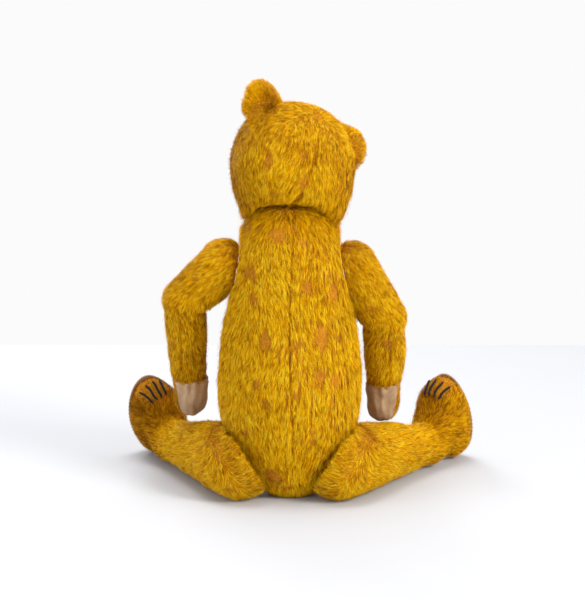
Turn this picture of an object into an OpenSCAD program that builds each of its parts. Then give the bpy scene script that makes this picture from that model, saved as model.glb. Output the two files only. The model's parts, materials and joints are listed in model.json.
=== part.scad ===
// Jointed teddy bear, seated. Millimetres, +Z up, origin on the floor under
// the middle of the body; the bear faces -Y and its own left side is +X.
// Every soft panel is a thin sewn shell round its own stuffing, and the head
// and the four limbs each turn on a disc joint: two hardboard discs, two steel
// washers and a split pin.

/* [Cloth] */
// Thickness of the mohair cloth with its backing
cloth_t = 1.2; // [1:0.1:1.4]
// Gap between the cloth faces of a disc joint, each side of the joint plane
joint_gap = 0.25; // [0.2:0.05:0.35]
// Gap between cloth and stuffing
stuff_gap = 0.3; // [0.2:0.05:0.4]
// Thickness of the sole pads
sole_t = 1.6; // [1.2:0.1:2]

/* [Disc joints] */
// Radius of the neck discs
neck_disc_r = 21; // [18:0.5:22]
// Radius of the shoulder discs
shoulder_disc_r = 14.5; // [12:0.5:15]
// Radius of the hip discs
hip_disc_r = 17; // [15:0.5:18]
// Thickness of each hardboard disc
disc_t = 2.5; // [2:0.1:3]
// Radius of the split pin's shank
pin_r = 1.6; // [1.4:0.1:1.8]
// Running clearance round the split pin
pin_play = 0.06; // [0.04:0.01:0.1]
// Radius of the steel washers
washer_r = 7; // [6:0.5:8]

/* [Body] */
// Radius of the seat at the floor
seat_r = 24; // [22:0.5:26]
// Greatest radius of the belly
belly_r = 56; // [55:0.5:57]
// Radius of the body at the shoulders
chest_r = 44.3; // [44:0.1:45]
// Height of the body's crown under the head
body_h = 236; // [234:0.5:238]

/* [Head] */
// Greatest radius of the head
head_r = 47.7; // [46:0.5:49]
// How far the head is turned to the bear's left, degrees
head_turn = 17; // [10:1:25]
// How far the head is tipped to the bear's right, degrees
head_tip = 19; // [12:1:22]
// Length of the muzzle from its root inside the head
muzzle_len = 60; // [54:1:64]
// Radius of the ears
ear_r = 18.5; // [16:0.5:20]
// Radius of the button eyes
eye_r = 5; // [4:0.25:6]

/* [Legs] */
// Radius of the thigh round the hip joint
thigh_r = 30; // [29:0.5:30]
// Radius of the ankle
ankle_r = 16.5; // [16:0.5:17.5]
// Half the length of the sole
sole_a = 38; // [36:0.5:39]
// Half the width of the sole
sole_b = 20.5; // [19:0.5:22]
// Turn-out of the left leg from straight ahead, degrees
leg_left_out = 32; // [30:1:34]
// Turn-out of the right leg from straight ahead, degrees
leg_right_out = 40; // [38:1:42]

/* [Arms] */
// Radius of the arm at the shoulder
arm_top_r = 20; // [19:0.5:21]
// Radius of the arm at the elbow
elbow_r = 17; // [16:0.5:17.5]
// Radius of the wrist
wrist_r = 13.2; // [12.5:0.1:14]
// Radius of the paw
paw_r = 14.2; // [13.5:0.1:14.5]

/* [Hidden] */
$fn = 64;

// the bear's sides, and the two sides of a disc joint
left = 1;
right = -1;
outer = 1;              // the head or limb
body = -1;

stuff_inset = cloth_t + stuff_gap;   // stuffing face in from the cloth's outer face
seam_gap = .05;         // half the gap between neighbouring cloth panels
touch_gap = .1;         // gap between parts that lie against each other

// ------------------------------------------------------------ helpers
function pick(side, for_left, for_right) = side > 0 ? for_left : for_right;

// a point given for the left side, on either side
function on_side(side, point) = [side*point[0], point[1], point[2]];

// profile points on a circle centred on the axis at height z
function arc(z, radius, from, to, steps) =
  [for (i = [0:steps])
    let (angle = from + (to - from)*i/steps)
    [radius*cos(angle), z + radius*sin(angle)]];

// profile from stations of [radius, height, inward share, upward share]:
// the shares say how far a point moves for each millimetre of inset
function inset_profile(stations, inset) =
  [for (row = stations) [row[0] - row[2]*inset, row[1] + row[3]*inset]];

// everything above or below height z of the current frame
module above(z) { translate([-200, -200, z]) cube([400, 400, 300]); }
module below(z) { translate([-200, -200, z - 300]) cube([400, 400, 300]); }

// block over the half opposite a side, a seam gap past the middle
module opposite_half(side, bottom, height) {
  translate([pick(side, -200 + seam_gap, -seam_gap), -200, bottom]) cube([200, 400, height]);
}

// lays +Z along the line from one point towards another
module run(from, to) {
  way = to - from;
  translate(from)
    rotate([0, acos(way[2]/norm(way)), atan2(way[1], way[0])])
      rotate([0, 0, 180]) children();
}

// ------------------------------------------------------------ joint frames
// origin at the joint's centre, +Z outwards from the body
hip_centre = [38, 3, 32];
hip_tilt = 32;          // the hip discs face this far below level
shoulder_centre = [41, 0, 180];
shoulder_tilt = -10;    // the shoulder discs face a little above level
neck_centre = [0, -6, 225.72];
neck_lean = 12;         // the neck disc leans forward

module side_frame(side, centre, tilt) {
  translate(on_side(side, centre)) rotate([0, side*(90 + tilt), 0]) children();
}
module hip_frame(side) { side_frame(side, hip_centre, hip_tilt) children(); }
module shoulder_frame(side) { side_frame(side, shoulder_centre, shoulder_tilt) children(); }
module neck_frame() { translate(neck_centre) rotate([neck_lean, 0, 0]) children(); }

// ------------------------------------------------------------ disc joints
bore_r = pin_r + pin_play;
washer_t = .9;
disc_z = joint_gap + cloth_t + touch_gap;      // inner face of a disc
washer_z = disc_z + disc_t + touch_gap;        // inner face of a washer
back_z = washer_z + washer_t + touch_gap;      // where the pin's eye or legs begin

pocket_play = .5;       // round the disc
pin_pocket_r = 8.2;     // room for the washer and the pin's end
pin_pocket_extra = 9;   // depth of that room behind the washer

pin_eye_r = 2.4;
pin_eye_wire_r = 1.1;
pin_curl_r = 2.35;
pin_curl_wire_r = .7;
pin_curl_x = 3.1;       // centre of each curl from the pin's axis

module joint_side(side) { mirror([0, 0, side < 0 ? 1 : 0]) children(); }

// hole for the pin through the cloth on a limb's or the head's side
module outer_bore() { translate([0, 0, -5]) cylinder(r = bore_r, h = 15); }

// room left in the stuffing for a disc, a washer and the end of the pin
module pocket(side, disc_r) {
  joint_side(side) {
    translate([0, 0, -2]) cylinder(r = disc_r + pocket_play, h = back_z + 2.3);
    cylinder(r = pin_pocket_r, h = back_z + pin_pocket_extra);
  }
}
module ring(side, z, radius, thickness) {
  joint_side(side) translate([0, 0, z])
    difference() {
      cylinder(r = radius, h = thickness);
      translate([0, 0, -1]) cylinder(r = bore_r, h = thickness + 2);
    }
}
module disc(side, radius) { color("peru") ring(side, disc_z, radius, disc_t); }
module washer(side) { color("silver") ring(side, washer_z, washer_r, washer_t); }

// split pin: an eye in the limb or head, a shank through the joint and two
// legs curled outwards behind the body's washer
module split_pin() {
  color("dimgray") {
    translate([0, 0, -back_z - 1.6]) cylinder(r = pin_r, h = 2*back_z + 3.4);
    translate([0, 0, back_z + 3.6]) rotate([90, 0, 0])
      rotate_extrude() translate([pin_eye_r, 0]) circle(r = pin_eye_wire_r);
    for (x = [pin_curl_x, -pin_curl_x])
      translate([x, 0, -back_z - 1.3]) rotate([90, 0, 0])
        difference() {
          rotate_extrude() translate([pin_curl_r, 0]) circle(r = pin_curl_wire_r);
          translate([-6, 0, -3]) cube([12, 6, 6]);
        }
  }
}

// ------------------------------------------------------------ body
// radius, height, inward share, upward share
body_stations = [
  [0, 0, 0, 1], [seat_r, 0, .6, 1], [33, 8, .75, .6], [40, 19, .85, .5],
  [46, 32, .9, .4], [50.5, 45, .95, .3],
  [belly_r - 2.5, 57, 1, 0], [belly_r - .5, 70, 1, 0], [belly_r, 82, 1, 0],
  [belly_r - .5, 96, 1, 0], [belly_r - 2.2, 115, 1, 0], [belly_r - 5, 137, 1, 0],
  [chest_r + 3.5, 158, 1, 0], [chest_r, 179, 1, 0], [chest_r - 2.8, 193, 1, 0],
  [chest_r - 5.3, 203, .98, -.2], [chest_r - 8.3, 211, .9, -.4],
  [chest_r - 11.8, 218, .8, -.6], [chest_r - 16.3, 224, .7, -.7],
  [chest_r - 22.3, body_h - 6.7, .5, -.87], [chest_r - 31.3, body_h - 2.5, .3, -.95],
  [0, body_h, 0, -1]];

// the body's solid, with a flat for each joint
module body_solid(inset) {
  flat_z = -joint_gap - inset;
  difference() {
    rotate_extrude() polygon(inset_profile(body_stations, inset));
    for (side = [left, right]) {
      hip_frame(side) above(flat_z);
      shoulder_frame(side) translate([0, 0, flat_z]) cylinder(r = 47, h = 40);
    }
    neck_frame() above(flat_z);
  }
}
module body_bore() { translate([0, 0, -20]) cylinder(r = bore_r, h = 30); }
module torso_half(side) {
  difference() {
    body_solid(0);
    body_solid(cloth_t);
    for (joint = [left, right]) {
      hip_frame(joint) body_bore();
      shoulder_frame(joint) body_bore();
    }
    neck_frame() body_bore();
    opposite_half(side, -10, 300);
  }
}
module torso_left() { color("goldenrod") torso_half(left); }
module torso_right() { color("goldenrod") torso_half(right); }
module torso_stuffing() {
  color("burlywood") difference() {
    body_solid(stuff_inset);
    for (side = [left, right]) {
      hip_frame(side) pocket(body, hip_disc_r);
      shoulder_frame(side) pocket(body, shoulder_disc_r);
    }
    neck_frame() pocket(body, neck_disc_r);
  }
}

// ------------------------------------------------------------ head
head_centre = [-2, -8, 258];
skull_base = [-2, -1.35, 226.71];
muzzle_root = [0, -25, -10];    // from the head's centre
muzzle_pitch = 97;              // swings the muzzle's axis forwards from upright
muzzle_tip_r = 14.5;

ear_t = 7;
ear_hollow_r = 29.5;
eye_place = [17, -41.5, 9];     // from the head's centre
eye_shank_r = .9;

nose_raise = 1.4;               // stitching above the cloth
mouth_raise = 1;
mouth_line = 1.2;               // width of the mouth's strokes
mouth_stroke = 9;               // length of each sloping stroke

// radius, height, inward share, upward share
skull_stations = [
  [0, 0, 0, 0], [36, 0, 1, 0], [41.5, 8, 1, 0], [head_r - 1.8, 18, 1, 0],
  [head_r, 31, 1, 0], [head_r - 1.2, 43, .97, -.2], [42, 56, .87, -.5],
  [34, 67, .75, -.66], [22, 75, .45, -.9], [10, 78.7, .2, -.98], [0, 79.5, 0, -1]];

// radius and height from the muzzle's root
function muzzle_profile(inset) = concat(
  [[0, 0], [26 - inset, 0], [24 - inset, 14], [20 - inset, 29], [17 - inset, muzzle_len - 19]],
  arc(muzzle_len - muzzle_tip_r, muzzle_tip_r - inset, 10, 90, 6));

module head_frame() {
  translate(head_centre) rotate([0, 0, head_turn]) rotate([0, -head_tip, 0]) children();
}
module muzzle_frame() {
  head_frame() translate(muzzle_root) rotate([muzzle_pitch, 0, 0]) children();
}
module skull(inset) {
  translate(skull_base) rotate([neck_lean, 0, 0])
    rotate_extrude() polygon(inset_profile(skull_stations, inset));
}
module muzzle(inset) { muzzle_frame() rotate_extrude() polygon(muzzle_profile(inset)); }

module head_solid(inset) {
  difference() {
    union() {
      skull(inset);
      muzzle(inset);
    }
    neck_frame() below(joint_gap + inset);
  }
}
module head_cloth() {
  difference() {
    head_solid(0);
    head_solid(cloth_t);
    neck_frame() outer_bore();
  }
}
// the strip that runs from the nose over the brow to the crown, grown all round
module gusset_zone(grow) {
  head_frame() translate([0, 0, -6]) linear_extrude(90)
    polygon([
      [-9 - grow, -110], [-12 - grow, -62], [-23 - grow, -30], [-22 - grow, 0],
      [0, 34 + 2*grow],
      [22 + grow, 0], [23 + grow, -30], [12 + grow, -62], [9 + grow, -110]]);
}
module head_half(side) {
  difference() {
    head_cloth();
    gusset_zone(seam_gap);
    head_frame() opposite_half(side, -200, 400);
  }
}
module head_left() { color("goldenrod") head_half(left); }
module head_right() { color("goldenrod") head_half(right); }
module head_gusset() {
  color("goldenrod") intersection() {
    head_cloth();
    gusset_zone(-seam_gap);
  }
}
module head_stuffing() {
  color("burlywood") difference() {
    head_solid(stuff_inset);
    neck_frame() pocket(outer, neck_disc_r);
  }
}

module ear_frame(side) {
  head_frame() translate(pick(side, [35.5, -1, 36.5], [-36.5, -8, 24]))
    rotate([0, pick(side, 38, -55), 0]) rotate([0, 0, pick(side, 30, -22)]) children();
}
// a round slab, hollowed in front and cut to sit on the skull
module ear(side) {
  color("goldenrod") difference() {
    ear_frame(side) difference() {
      translate([0, ear_t/2, 0]) rotate([90, 0, 0]) cylinder(r = ear_r, h = ear_t);
      translate([0, -30, 7]) sphere(r = ear_hollow_r);
    }
    skull(-touch_gap);
  }
}
module ear_left() { ear(left); }
module ear_right() { ear(right); }

// a button with a flat back, on a shank that runs into the head
module eye(side) {
  color("black") head_frame() translate(on_side(side, eye_place))
    rotate([90 - 12, 0, side*20]) {
      difference() {
        sphere(r = eye_r);
        translate([-10, -10, -20]) cube([20, 20, 19]);
      }
      translate([0, 0, -7]) cylinder(r = eye_shank_r, h = 8);
    }
}
module eye_left() { eye(left); }
module eye_right() { eye(right); }

// lays a flat outline on the muzzle; the outline's +Y runs down the face
module muzzle_stitching(raise) {
  intersection() {
    difference() {
      muzzle(-raise);
      muzzle(-touch_gap);
    }
    muzzle_frame() rotate([0, 0, 180]) translate([0, 0, 20]) linear_extrude(60) children();
  }
}
module nose_stitching() {
  color("black") muzzle_stitching(nose_raise)
    polygon([[-9, -6.5], [-8.2, -8.5], [8.2, -8.5], [9, -6.5], [3, 2.5], [-3, 2.5]]);
}
// an upright line with two strokes sloping down from its foot
module mouth_stitching() {
  color("black") muzzle_stitching(mouth_raise) {
    translate([-mouth_line/2, 2.6]) square([mouth_line, 5]);
    for (side = [left, right])
      translate([0, 7.2]) rotate(side*38)
        translate([pick(side, -.2, .2 - mouth_stroke), -mouth_line/2])
          square([mouth_stroke, mouth_line]);
  }
}

// ------------------------------------------------------------ arms
// middles of the bent arm's shoulder, elbow and paw
function arm_top(side) = pick(side, [51, 0, 181], [-48, 0, 179]);
function elbow(side) = pick(side, [82.3, -6.5, 151.8], [-73.9, -8, 137]);
function paw(side) = pick(side, [81.5, -38, 68], [-76.5, -37, 63.5]);

palm_turn = 52;         // turn of the palm's seam about the upright
palm_top = 20;          // palm's upper edge above the paw's middle
palm_front = -2.6;      // palm's front edge from the paw's middle

function upper_arm_profile(inset, length) = concat(
  arc(0, arm_top_r - inset, -90, 5, 7),
  [[arm_top_r - 1.6 - inset, length*.55]],
  arc(length, elbow_r - inset, 5, 90, 6));
function forearm_profile(inset, length) = concat(
  arc(4, elbow_r - 1.5 - inset, -90, -8, 6),
  [[elbow_r - 1 - inset, 24], [elbow_r - 1.8 - inset, 44], [wrist_r - inset, length - 16]],
  arc(length, paw_r - inset, 0, 90, 7));

module arm_solid(side, inset) {
  top = arm_top(side);
  bend = elbow(side);
  end = paw(side);
  difference() {
    union() {
      run(top, bend) rotate_extrude() polygon(upper_arm_profile(inset, norm(bend - top)));
      run(bend, end) rotate_extrude() polygon(forearm_profile(inset, norm(end - bend)));
    }
    shoulder_frame(side) below(joint_gap + inset);
  }
}
module arm_cloth(side) {
  difference() {
    arm_solid(side, 0);
    arm_solid(side, cloth_t);
    shoulder_frame(side) outer_bore();
  }
}
// the palm: the end of the arm that faces back and inwards
module palm_zone(side, grow) {
  translate(paw(side) + [0, 0, palm_top + grow]) rotate([0, 0, side*palm_turn])
    translate([-45, palm_front - grow, -70]) cube([90, 50, 70]);
}
module arm_mohair(side) {
  difference() {
    arm_cloth(side);
    palm_zone(side, seam_gap);
  }
}
module paw_pad(side) {
  intersection() {
    arm_cloth(side);
    palm_zone(side, -seam_gap);
  }
}
module arm_stuffing(side) {
  difference() {
    arm_solid(side, stuff_inset);
    shoulder_frame(side) pocket(outer, shoulder_disc_r);
  }
}
module arm_left() { color("goldenrod") arm_mohair(left); }
module arm_right() { color("goldenrod") arm_mohair(right); }
module paw_pad_left() { color("wheat") paw_pad(left); }
module paw_pad_right() { color("wheat") paw_pad(right); }
module arm_stuffing_left() { color("burlywood") arm_stuffing(left); }
module arm_stuffing_right() { color("burlywood") arm_stuffing(right); }

// ------------------------------------------------------------ legs
thigh_centre = [37, 25, 30];    // middle of the thigh's rounded top
leg_drop = 5;           // the leg runs down to the heel by this many degrees
sole_reach = 153;       // sole's middle from the thigh's middle, along the leg
sole_lean = 20;         // the toes lean back by this many degrees
toe_centre = [-14, 0, 21];      // in the sole's frame
toe_r = 14;
pad_overlap = .3;       // the sole pad's edge beyond the sole
sole_stuff_gap = .3;    // from the sole's plane to the stuffing
thread_r = .8;
claw_r = 15;            // bend of the claw stitches round the toes

// middle of the sole above the floor, and its roll about the leg
function sole_z(side) = pick(side, 37.5, 39);
function sole_roll(side) = pick(side, -23, 5);

// +X forwards along the leg
module leg_frame(side) {
  translate(on_side(side, thigh_centre))
    rotate([0, 0, -90 + side*pick(side, leg_left_out, leg_right_out)]) children();
}
// +Z down the leg's axis
module leg_axis(side) { leg_frame(side) rotate([0, 90 + leg_drop, 0]) children(); }
// at the middle of the sole: +X out of the sole, +Z towards the toes
module sole_frame(side) {
  leg_frame(side) translate([sole_reach, 0, sole_z(side) - thigh_centre[2]])
    rotate([sole_roll(side), 0, 0]) rotate([0, -sole_lean, 0]) children();
}
function leg_profile(inset) = concat(
  arc(0, thigh_r - inset, -90, 0, 8),
  [[thigh_r - 2.4 - inset, 27], [thigh_r - 5.6 - inset, 50],
   [21 - inset, 75], [17.8 - inset, 98]],
  arc(116, ankle_r - inset, 0, 90, 6));

// an inset foot runs out past the sole's plane, so the cloth is open there
module foot(side, inset) {
  hull() {
    sole_frame(side) translate([inset > 0 ? -1 : -2, 0, 0]) rotate([0, 90, 0])
      scale([1, (sole_b - inset)/(sole_a - inset), 1])
        cylinder(r = sole_a - inset, h = inset > 0 ? 3 : 2, $fn = 40);
    sole_frame(side) translate(toe_centre) sphere(r = toe_r - inset, $fn = 28);
    leg_axis(side) translate([0, 0, 120]) sphere(r = ankle_r + .8 - inset, $fn = 28);
  }
}
module leg_solid(side, inset) {
  difference() {
    union() {
      leg_axis(side) rotate_extrude() polygon(leg_profile(inset));
      foot(side, inset);
    }
    hip_frame(side) below(joint_gap + inset);
  }
}
module leg_mohair(side) {
  difference() {
    leg_solid(side, 0);
    leg_solid(side, cloth_t);
    hip_frame(side) outer_bore();
  }
}
module leg_stuffing(side) {
  difference() {
    leg_solid(side, stuff_inset);
    sole_frame(side) translate([-sole_stuff_gap, -100, -100]) cube([50, 200, 200]);
    hip_frame(side) pocket(outer, hip_disc_r);
  }
}
module foot_pad(side) {
  sole_frame(side) translate([touch_gap, 0, 0]) rotate([0, 90, 0])
    scale([1, sole_b/sole_a, 1]) cylinder(r = sole_a + pad_overlap, h = sole_t);
}
// four stitched claws over the toes, each an arc of a thread ring
module claws(side) {
  sole_frame(side) translate(toe_centre)
    for (i = [-1.5:1:1.5]) rotate([i*24, 0, 0]) rotate([90, 0, 0])
      intersection() {
        rotate_extrude() translate([claw_r, 0]) circle(r = thread_r, $fn = 24);
        translate([0, 0, -3]) linear_extrude(6)
          polygon(concat([[0, 0]], arc(0, 2*claw_r, 78, 138, 2)));
      }
}
module leg_left() { color("goldenrod") leg_mohair(left); }
module leg_right() { color("goldenrod") leg_mohair(right); }
module leg_stuffing_left() { color("burlywood") leg_stuffing(left); }
module leg_stuffing_right() { color("burlywood") leg_stuffing(right); }
module foot_pad_left() { color("tan") foot_pad(left); }
module foot_pad_right() { color("tan") foot_pad(right); }
module claw_stitches_left() { color("black") claws(left); }
module claw_stitches_right() { color("black") claws(right); }

// ------------------------------------------------------------ nodes
NODES = ["torso_left", "torso_right", "torso_stuffing",
  "head_left", "head_right", "head_gusset", "head_stuffing", "ear_left", "ear_right",
  "eye_left", "eye_right", "nose_stitching", "mouth_stitching",
  "arm_left", "arm_right", "paw_pad_left", "paw_pad_right",
  "arm_stuffing_left", "arm_stuffing_right",
  "leg_left", "leg_right", "leg_stuffing_left", "leg_stuffing_right",
  "foot_pad_left", "foot_pad_right", "claw_stitches_left", "claw_stitches_right",
  "neck_head_disc", "neck_body_disc", "neck_head_washer", "neck_body_washer", "neck_pin",
  "shoulder_left_arm_disc", "shoulder_left_body_disc",
  "shoulder_left_arm_washer", "shoulder_left_body_washer", "shoulder_left_pin",
  "shoulder_right_arm_disc", "shoulder_right_body_disc",
  "shoulder_right_arm_washer", "shoulder_right_body_washer", "shoulder_right_pin",
  "hip_left_leg_disc", "hip_left_body_disc",
  "hip_left_leg_washer", "hip_left_body_washer", "hip_left_pin",
  "hip_right_leg_disc", "hip_right_body_disc",
  "hip_right_leg_washer", "hip_right_body_washer", "hip_right_pin"];
node = "all";

function on(name) = node == "all" || node == name;

if (on("torso_left")) torso_left();
if (on("torso_right")) torso_right();
if (on("torso_stuffing")) torso_stuffing();
if (on("head_left")) head_left();
if (on("head_right")) head_right();
if (on("head_gusset")) head_gusset();
if (on("head_stuffing")) head_stuffing();
if (on("ear_left")) ear_left();
if (on("ear_right")) ear_right();
if (on("eye_left")) eye_left();
if (on("eye_right")) eye_right();
if (on("nose_stitching")) nose_stitching();
if (on("mouth_stitching")) mouth_stitching();
if (on("arm_left")) arm_left();
if (on("arm_right")) arm_right();
if (on("paw_pad_left")) paw_pad_left();
if (on("paw_pad_right")) paw_pad_right();
if (on("arm_stuffing_left")) arm_stuffing_left();
if (on("arm_stuffing_right")) arm_stuffing_right();
if (on("leg_left")) leg_left();
if (on("leg_right")) leg_right();
if (on("leg_stuffing_left")) leg_stuffing_left();
if (on("leg_stuffing_right")) leg_stuffing_right();
if (on("foot_pad_left")) foot_pad_left();
if (on("foot_pad_right")) foot_pad_right();
if (on("claw_stitches_left")) claw_stitches_left();
if (on("claw_stitches_right")) claw_stitches_right();
if (on("neck_head_disc")) neck_frame() disc(outer, neck_disc_r);
if (on("neck_body_disc")) neck_frame() disc(body, neck_disc_r);
if (on("neck_head_washer")) neck_frame() washer(outer);
if (on("neck_body_washer")) neck_frame() washer(body);
if (on("neck_pin")) neck_frame() split_pin();
if (on("shoulder_left_arm_disc")) shoulder_frame(left) disc(outer, shoulder_disc_r);
if (on("shoulder_left_body_disc")) shoulder_frame(left) disc(body, shoulder_disc_r);
if (on("shoulder_left_arm_washer")) shoulder_frame(left) washer(outer);
if (on("shoulder_left_body_washer")) shoulder_frame(left) washer(body);
if (on("shoulder_left_pin")) shoulder_frame(left) split_pin();
if (on("shoulder_right_arm_disc")) shoulder_frame(right) disc(outer, shoulder_disc_r);
if (on("shoulder_right_body_disc")) shoulder_frame(right) disc(body, shoulder_disc_r);
if (on("shoulder_right_arm_washer")) shoulder_frame(right) washer(outer);
if (on("shoulder_right_body_washer")) shoulder_frame(right) washer(body);
if (on("shoulder_right_pin")) shoulder_frame(right) split_pin();
if (on("hip_left_leg_disc")) hip_frame(left) disc(outer, hip_disc_r);
if (on("hip_left_body_disc")) hip_frame(left) disc(body, hip_disc_r);
if (on("hip_left_leg_washer")) hip_frame(left) washer(outer);
if (on("hip_left_body_washer")) hip_frame(left) washer(body);
if (on("hip_left_pin")) hip_frame(left) split_pin();
if (on("hip_right_leg_disc")) hip_frame(right) disc(outer, hip_disc_r);
if (on("hip_right_body_disc")) hip_frame(right) disc(body, hip_disc_r);
if (on("hip_right_leg_washer")) hip_frame(right) washer(outer);
if (on("hip_right_body_washer")) hip_frame(right) washer(body);
if (on("hip_right_pin")) hip_frame(right) split_pin();
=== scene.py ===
import bpy, json, math
import numpy as np
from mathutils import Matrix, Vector, noise

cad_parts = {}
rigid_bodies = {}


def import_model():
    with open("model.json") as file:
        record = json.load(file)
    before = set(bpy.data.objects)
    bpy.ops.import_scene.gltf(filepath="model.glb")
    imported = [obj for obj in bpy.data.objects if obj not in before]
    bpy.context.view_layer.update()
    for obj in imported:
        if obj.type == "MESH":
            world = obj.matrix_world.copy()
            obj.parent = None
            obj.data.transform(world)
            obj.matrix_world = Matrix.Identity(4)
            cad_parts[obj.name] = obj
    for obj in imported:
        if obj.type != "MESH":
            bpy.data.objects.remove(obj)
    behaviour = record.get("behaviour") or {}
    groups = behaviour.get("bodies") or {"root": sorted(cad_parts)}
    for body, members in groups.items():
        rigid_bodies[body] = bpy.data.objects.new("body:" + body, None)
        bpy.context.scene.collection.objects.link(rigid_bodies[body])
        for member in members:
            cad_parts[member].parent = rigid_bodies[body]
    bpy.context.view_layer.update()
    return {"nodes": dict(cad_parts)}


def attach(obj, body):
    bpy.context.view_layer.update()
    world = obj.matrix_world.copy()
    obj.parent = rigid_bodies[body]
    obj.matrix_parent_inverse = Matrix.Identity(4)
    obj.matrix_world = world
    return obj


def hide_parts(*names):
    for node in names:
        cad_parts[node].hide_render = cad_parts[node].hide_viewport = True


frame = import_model()
NODES = frame["nodes"]
MM = 0.001
rng = np.random.default_rng(7)


# ------------------------------------------------------------------ maths
def rx(a):
    c, s = math.cos(math.radians(a)), math.sin(math.radians(a))
    return np.array([[1, 0, 0], [0, c, -s], [0, s, c]])


def ry(a):
    c, s = math.cos(math.radians(a)), math.sin(math.radians(a))
    return np.array([[c, 0, s], [0, 1, 0], [-s, 0, c]])


def rz(a):
    c, s = math.cos(math.radians(a)), math.sin(math.radians(a))
    return np.array([[c, -s, 0], [s, c, 0], [0, 0, 1]])


class Place:
    """A frame: rotation R and origin p, in millimetres."""

    def __init__(self, p, R=None):
        self.p, self.R = np.array(p, float), np.eye(3) if R is None else R

    def out(self, q):
        return np.asarray(q, float) @ self.R.T + self.p

    def into(self, q):
        return (np.asarray(q, float) - self.p) @ self.R

    def of(self, p, R=None):
        R = np.eye(3) if R is None else R
        return Place(self.R @ np.array(p, float) + self.p, self.R @ R)


def norm(v):
    v = np.asarray(v, float)
    return v / np.maximum(np.linalg.norm(v, axis=-1, keepdims=True), 1e-9)


def smooth(a, b, x):
    t = np.clip((x - a) / (b - a), 0, 1)
    return t * t * (3 - 2 * t)


def vnoise(P, scale, seed=0):
    """Smooth value noise in -1..1 at points P (mm), features about `scale` mm."""
    q = np.asarray(P, float) / scale + 91.7 * seed + 1000
    i = np.floor(q).astype(np.int64)
    f = q - i
    f = f * f * (3 - 2 * f)
    out = 0
    for dx in (0, 1):
        for dy in (0, 1):
            for dz in (0, 1):
                h = (i[:, 0] + dx) * 374761393 + (i[:, 1] + dy) * 668265263 + (i[:, 2] + dz) * 2147483647 + seed * 144665
                h = (h ^ (h >> 13)) * 1274126177
                h = (h ^ (h >> 16)) & 0xFFFF
                w = (f[:, 0] if dx else 1 - f[:, 0]) * (f[:, 1] if dy else 1 - f[:, 1]) * (f[:, 2] if dz else 1 - f[:, 2])
                out = out + w * (h / 32767.5 - 1)
    return out


def arc(c, r, a0, a1, n):
    return [(r * math.cos(math.radians(a)), c + r * math.sin(math.radians(a))) for a in np.linspace(a0, a1, n + 1)]


# the same frames as the design's joints
def hip(s):
    return Place([s * 38, 3, 32], ry(s * 122))


def shoulder(s):
    return Place([s * 41, 0, 180], ry(s * 80))


NECK = Place([0, -6, 225.72], rx(12))
HEAD = Place([-2, -8, 258], rz(17) @ ry(-19))
SKULL = Place([-2, -1.35, 226.71], rx(12))
MUZZLE = HEAD.of([0, -25, -10], rx(97))
OUT = {1: 32.0, -1: 40.0}


def leg_place(s):
    return Place([s * 37, 25, 30], rz(-90 + s * OUT[s]))


def sole_place(s):
    z, roll = (37.5, -23) if s > 0 else (39, 5)
    return leg_place(s).of([153, 0, z - 30], rx(roll) @ ry(-20))


def run_place(p, q):
    d = np.array(q, float) - np.array(p, float)
    return Place(p, rz(math.degrees(math.atan2(d[1], d[0]))) @ ry(math.degrees(math.acos(d[2] / np.linalg.norm(d)))))


ARM_A = {1: (51, 0, 181), -1: (-48, 0, 179)}
ARM_E = {1: (82.3, -6.5, 151.8), -1: (-73.9, -8, 137)}
ARM_W = {1: (81.5, -38, 68), -1: (-76.5, -37, 63.5)}


# ------------------------------------------------------------- mesh tools
def new_mesh(name, V, F, smooth_faces=True):
    me = bpy.data.meshes.new(name)
    me.from_pydata([tuple(v) for v in V], [], [tuple(f) for f in F])
    me.update()
    if smooth_faces:
        me.polygons.foreach_set("use_smooth", [True] * len(me.polygons))
    ob = bpy.data.objects.new(name, me)
    bpy.context.scene.collection.objects.link(ob)
    return ob


def finer(profile, step):
    out = [profile[0]]
    for a, b in zip(profile[:-1], profile[1:]):
        n = max(1, int(math.dist(a, b) / step))
        out += [(a[0] + (b[0] - a[0]) * i / n, a[1] + (b[1] - a[1]) * i / n) for i in range(1, n + 1)]
    return out


def revolve(profile, place, seg=72, step=4):
    """Closed body of revolution about the place's Z, profile from pole to pole."""
    pr = finer(profile, step)
    V, F = [], []
    lo = len(V)
    V.append((0, 0, pr[0][1]))
    inner = [p for p in pr if p[0] > 1e-6]
    for r, z in inner:
        for k in range(seg):
            a = 2 * math.pi * k / seg
            V.append((r * math.cos(a), r * math.sin(a), z))
    V.append((0, 0, pr[-1][1]))
    hi = len(V) - 1
    for k in range(seg):
        F.append((lo, 1 + (k + 1) % seg, 1 + k))
        for i in range(len(inner) - 1):
            a, b = 1 + i * seg, 1 + (i + 1) * seg
            F.append((a + k, a + (k + 1) % seg, b + (k + 1) % seg, b + k))
        b = 1 + (len(inner) - 1) * seg
        F.append((b + k, b + (k + 1) % seg, hi))
    return place.out(np.array(V)), F


def ball(c, r, seg=40):
    return revolve(arc(0, r, -90, 90, 20), Place(c), seg, 99)


def fuse(name, parts, voxel, rounds=6, factor=0.5):
    """One skin from overlapping closed parts: joined, remeshed and relaxed. Returns the object, in metres."""
    V, F, n = [], [], 0
    for v, f in parts:
        V.append(v)
        F += [tuple(i + n for i in face) for face in f]
        n += len(v)
    ob = new_mesh(name, np.vstack(V) * MM, F)
    m = ob.modifiers.new("fuse", "REMESH")
    m.mode, m.voxel_size, m.use_smooth_shade = "VOXEL", voxel * MM, True
    if rounds:
        m = ob.modifiers.new("relax", "SMOOTH")
        m.iterations, m.factor = rounds, factor
    return bake(ob)


def bake(ob):
    dg = bpy.context.evaluated_depsgraph_get()
    me = bpy.data.meshes.new_from_object(ob.evaluated_get(dg))
    old = ob.data
    ob.modifiers.clear()
    ob.data = me
    bpy.data.meshes.remove(old)
    return ob


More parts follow.
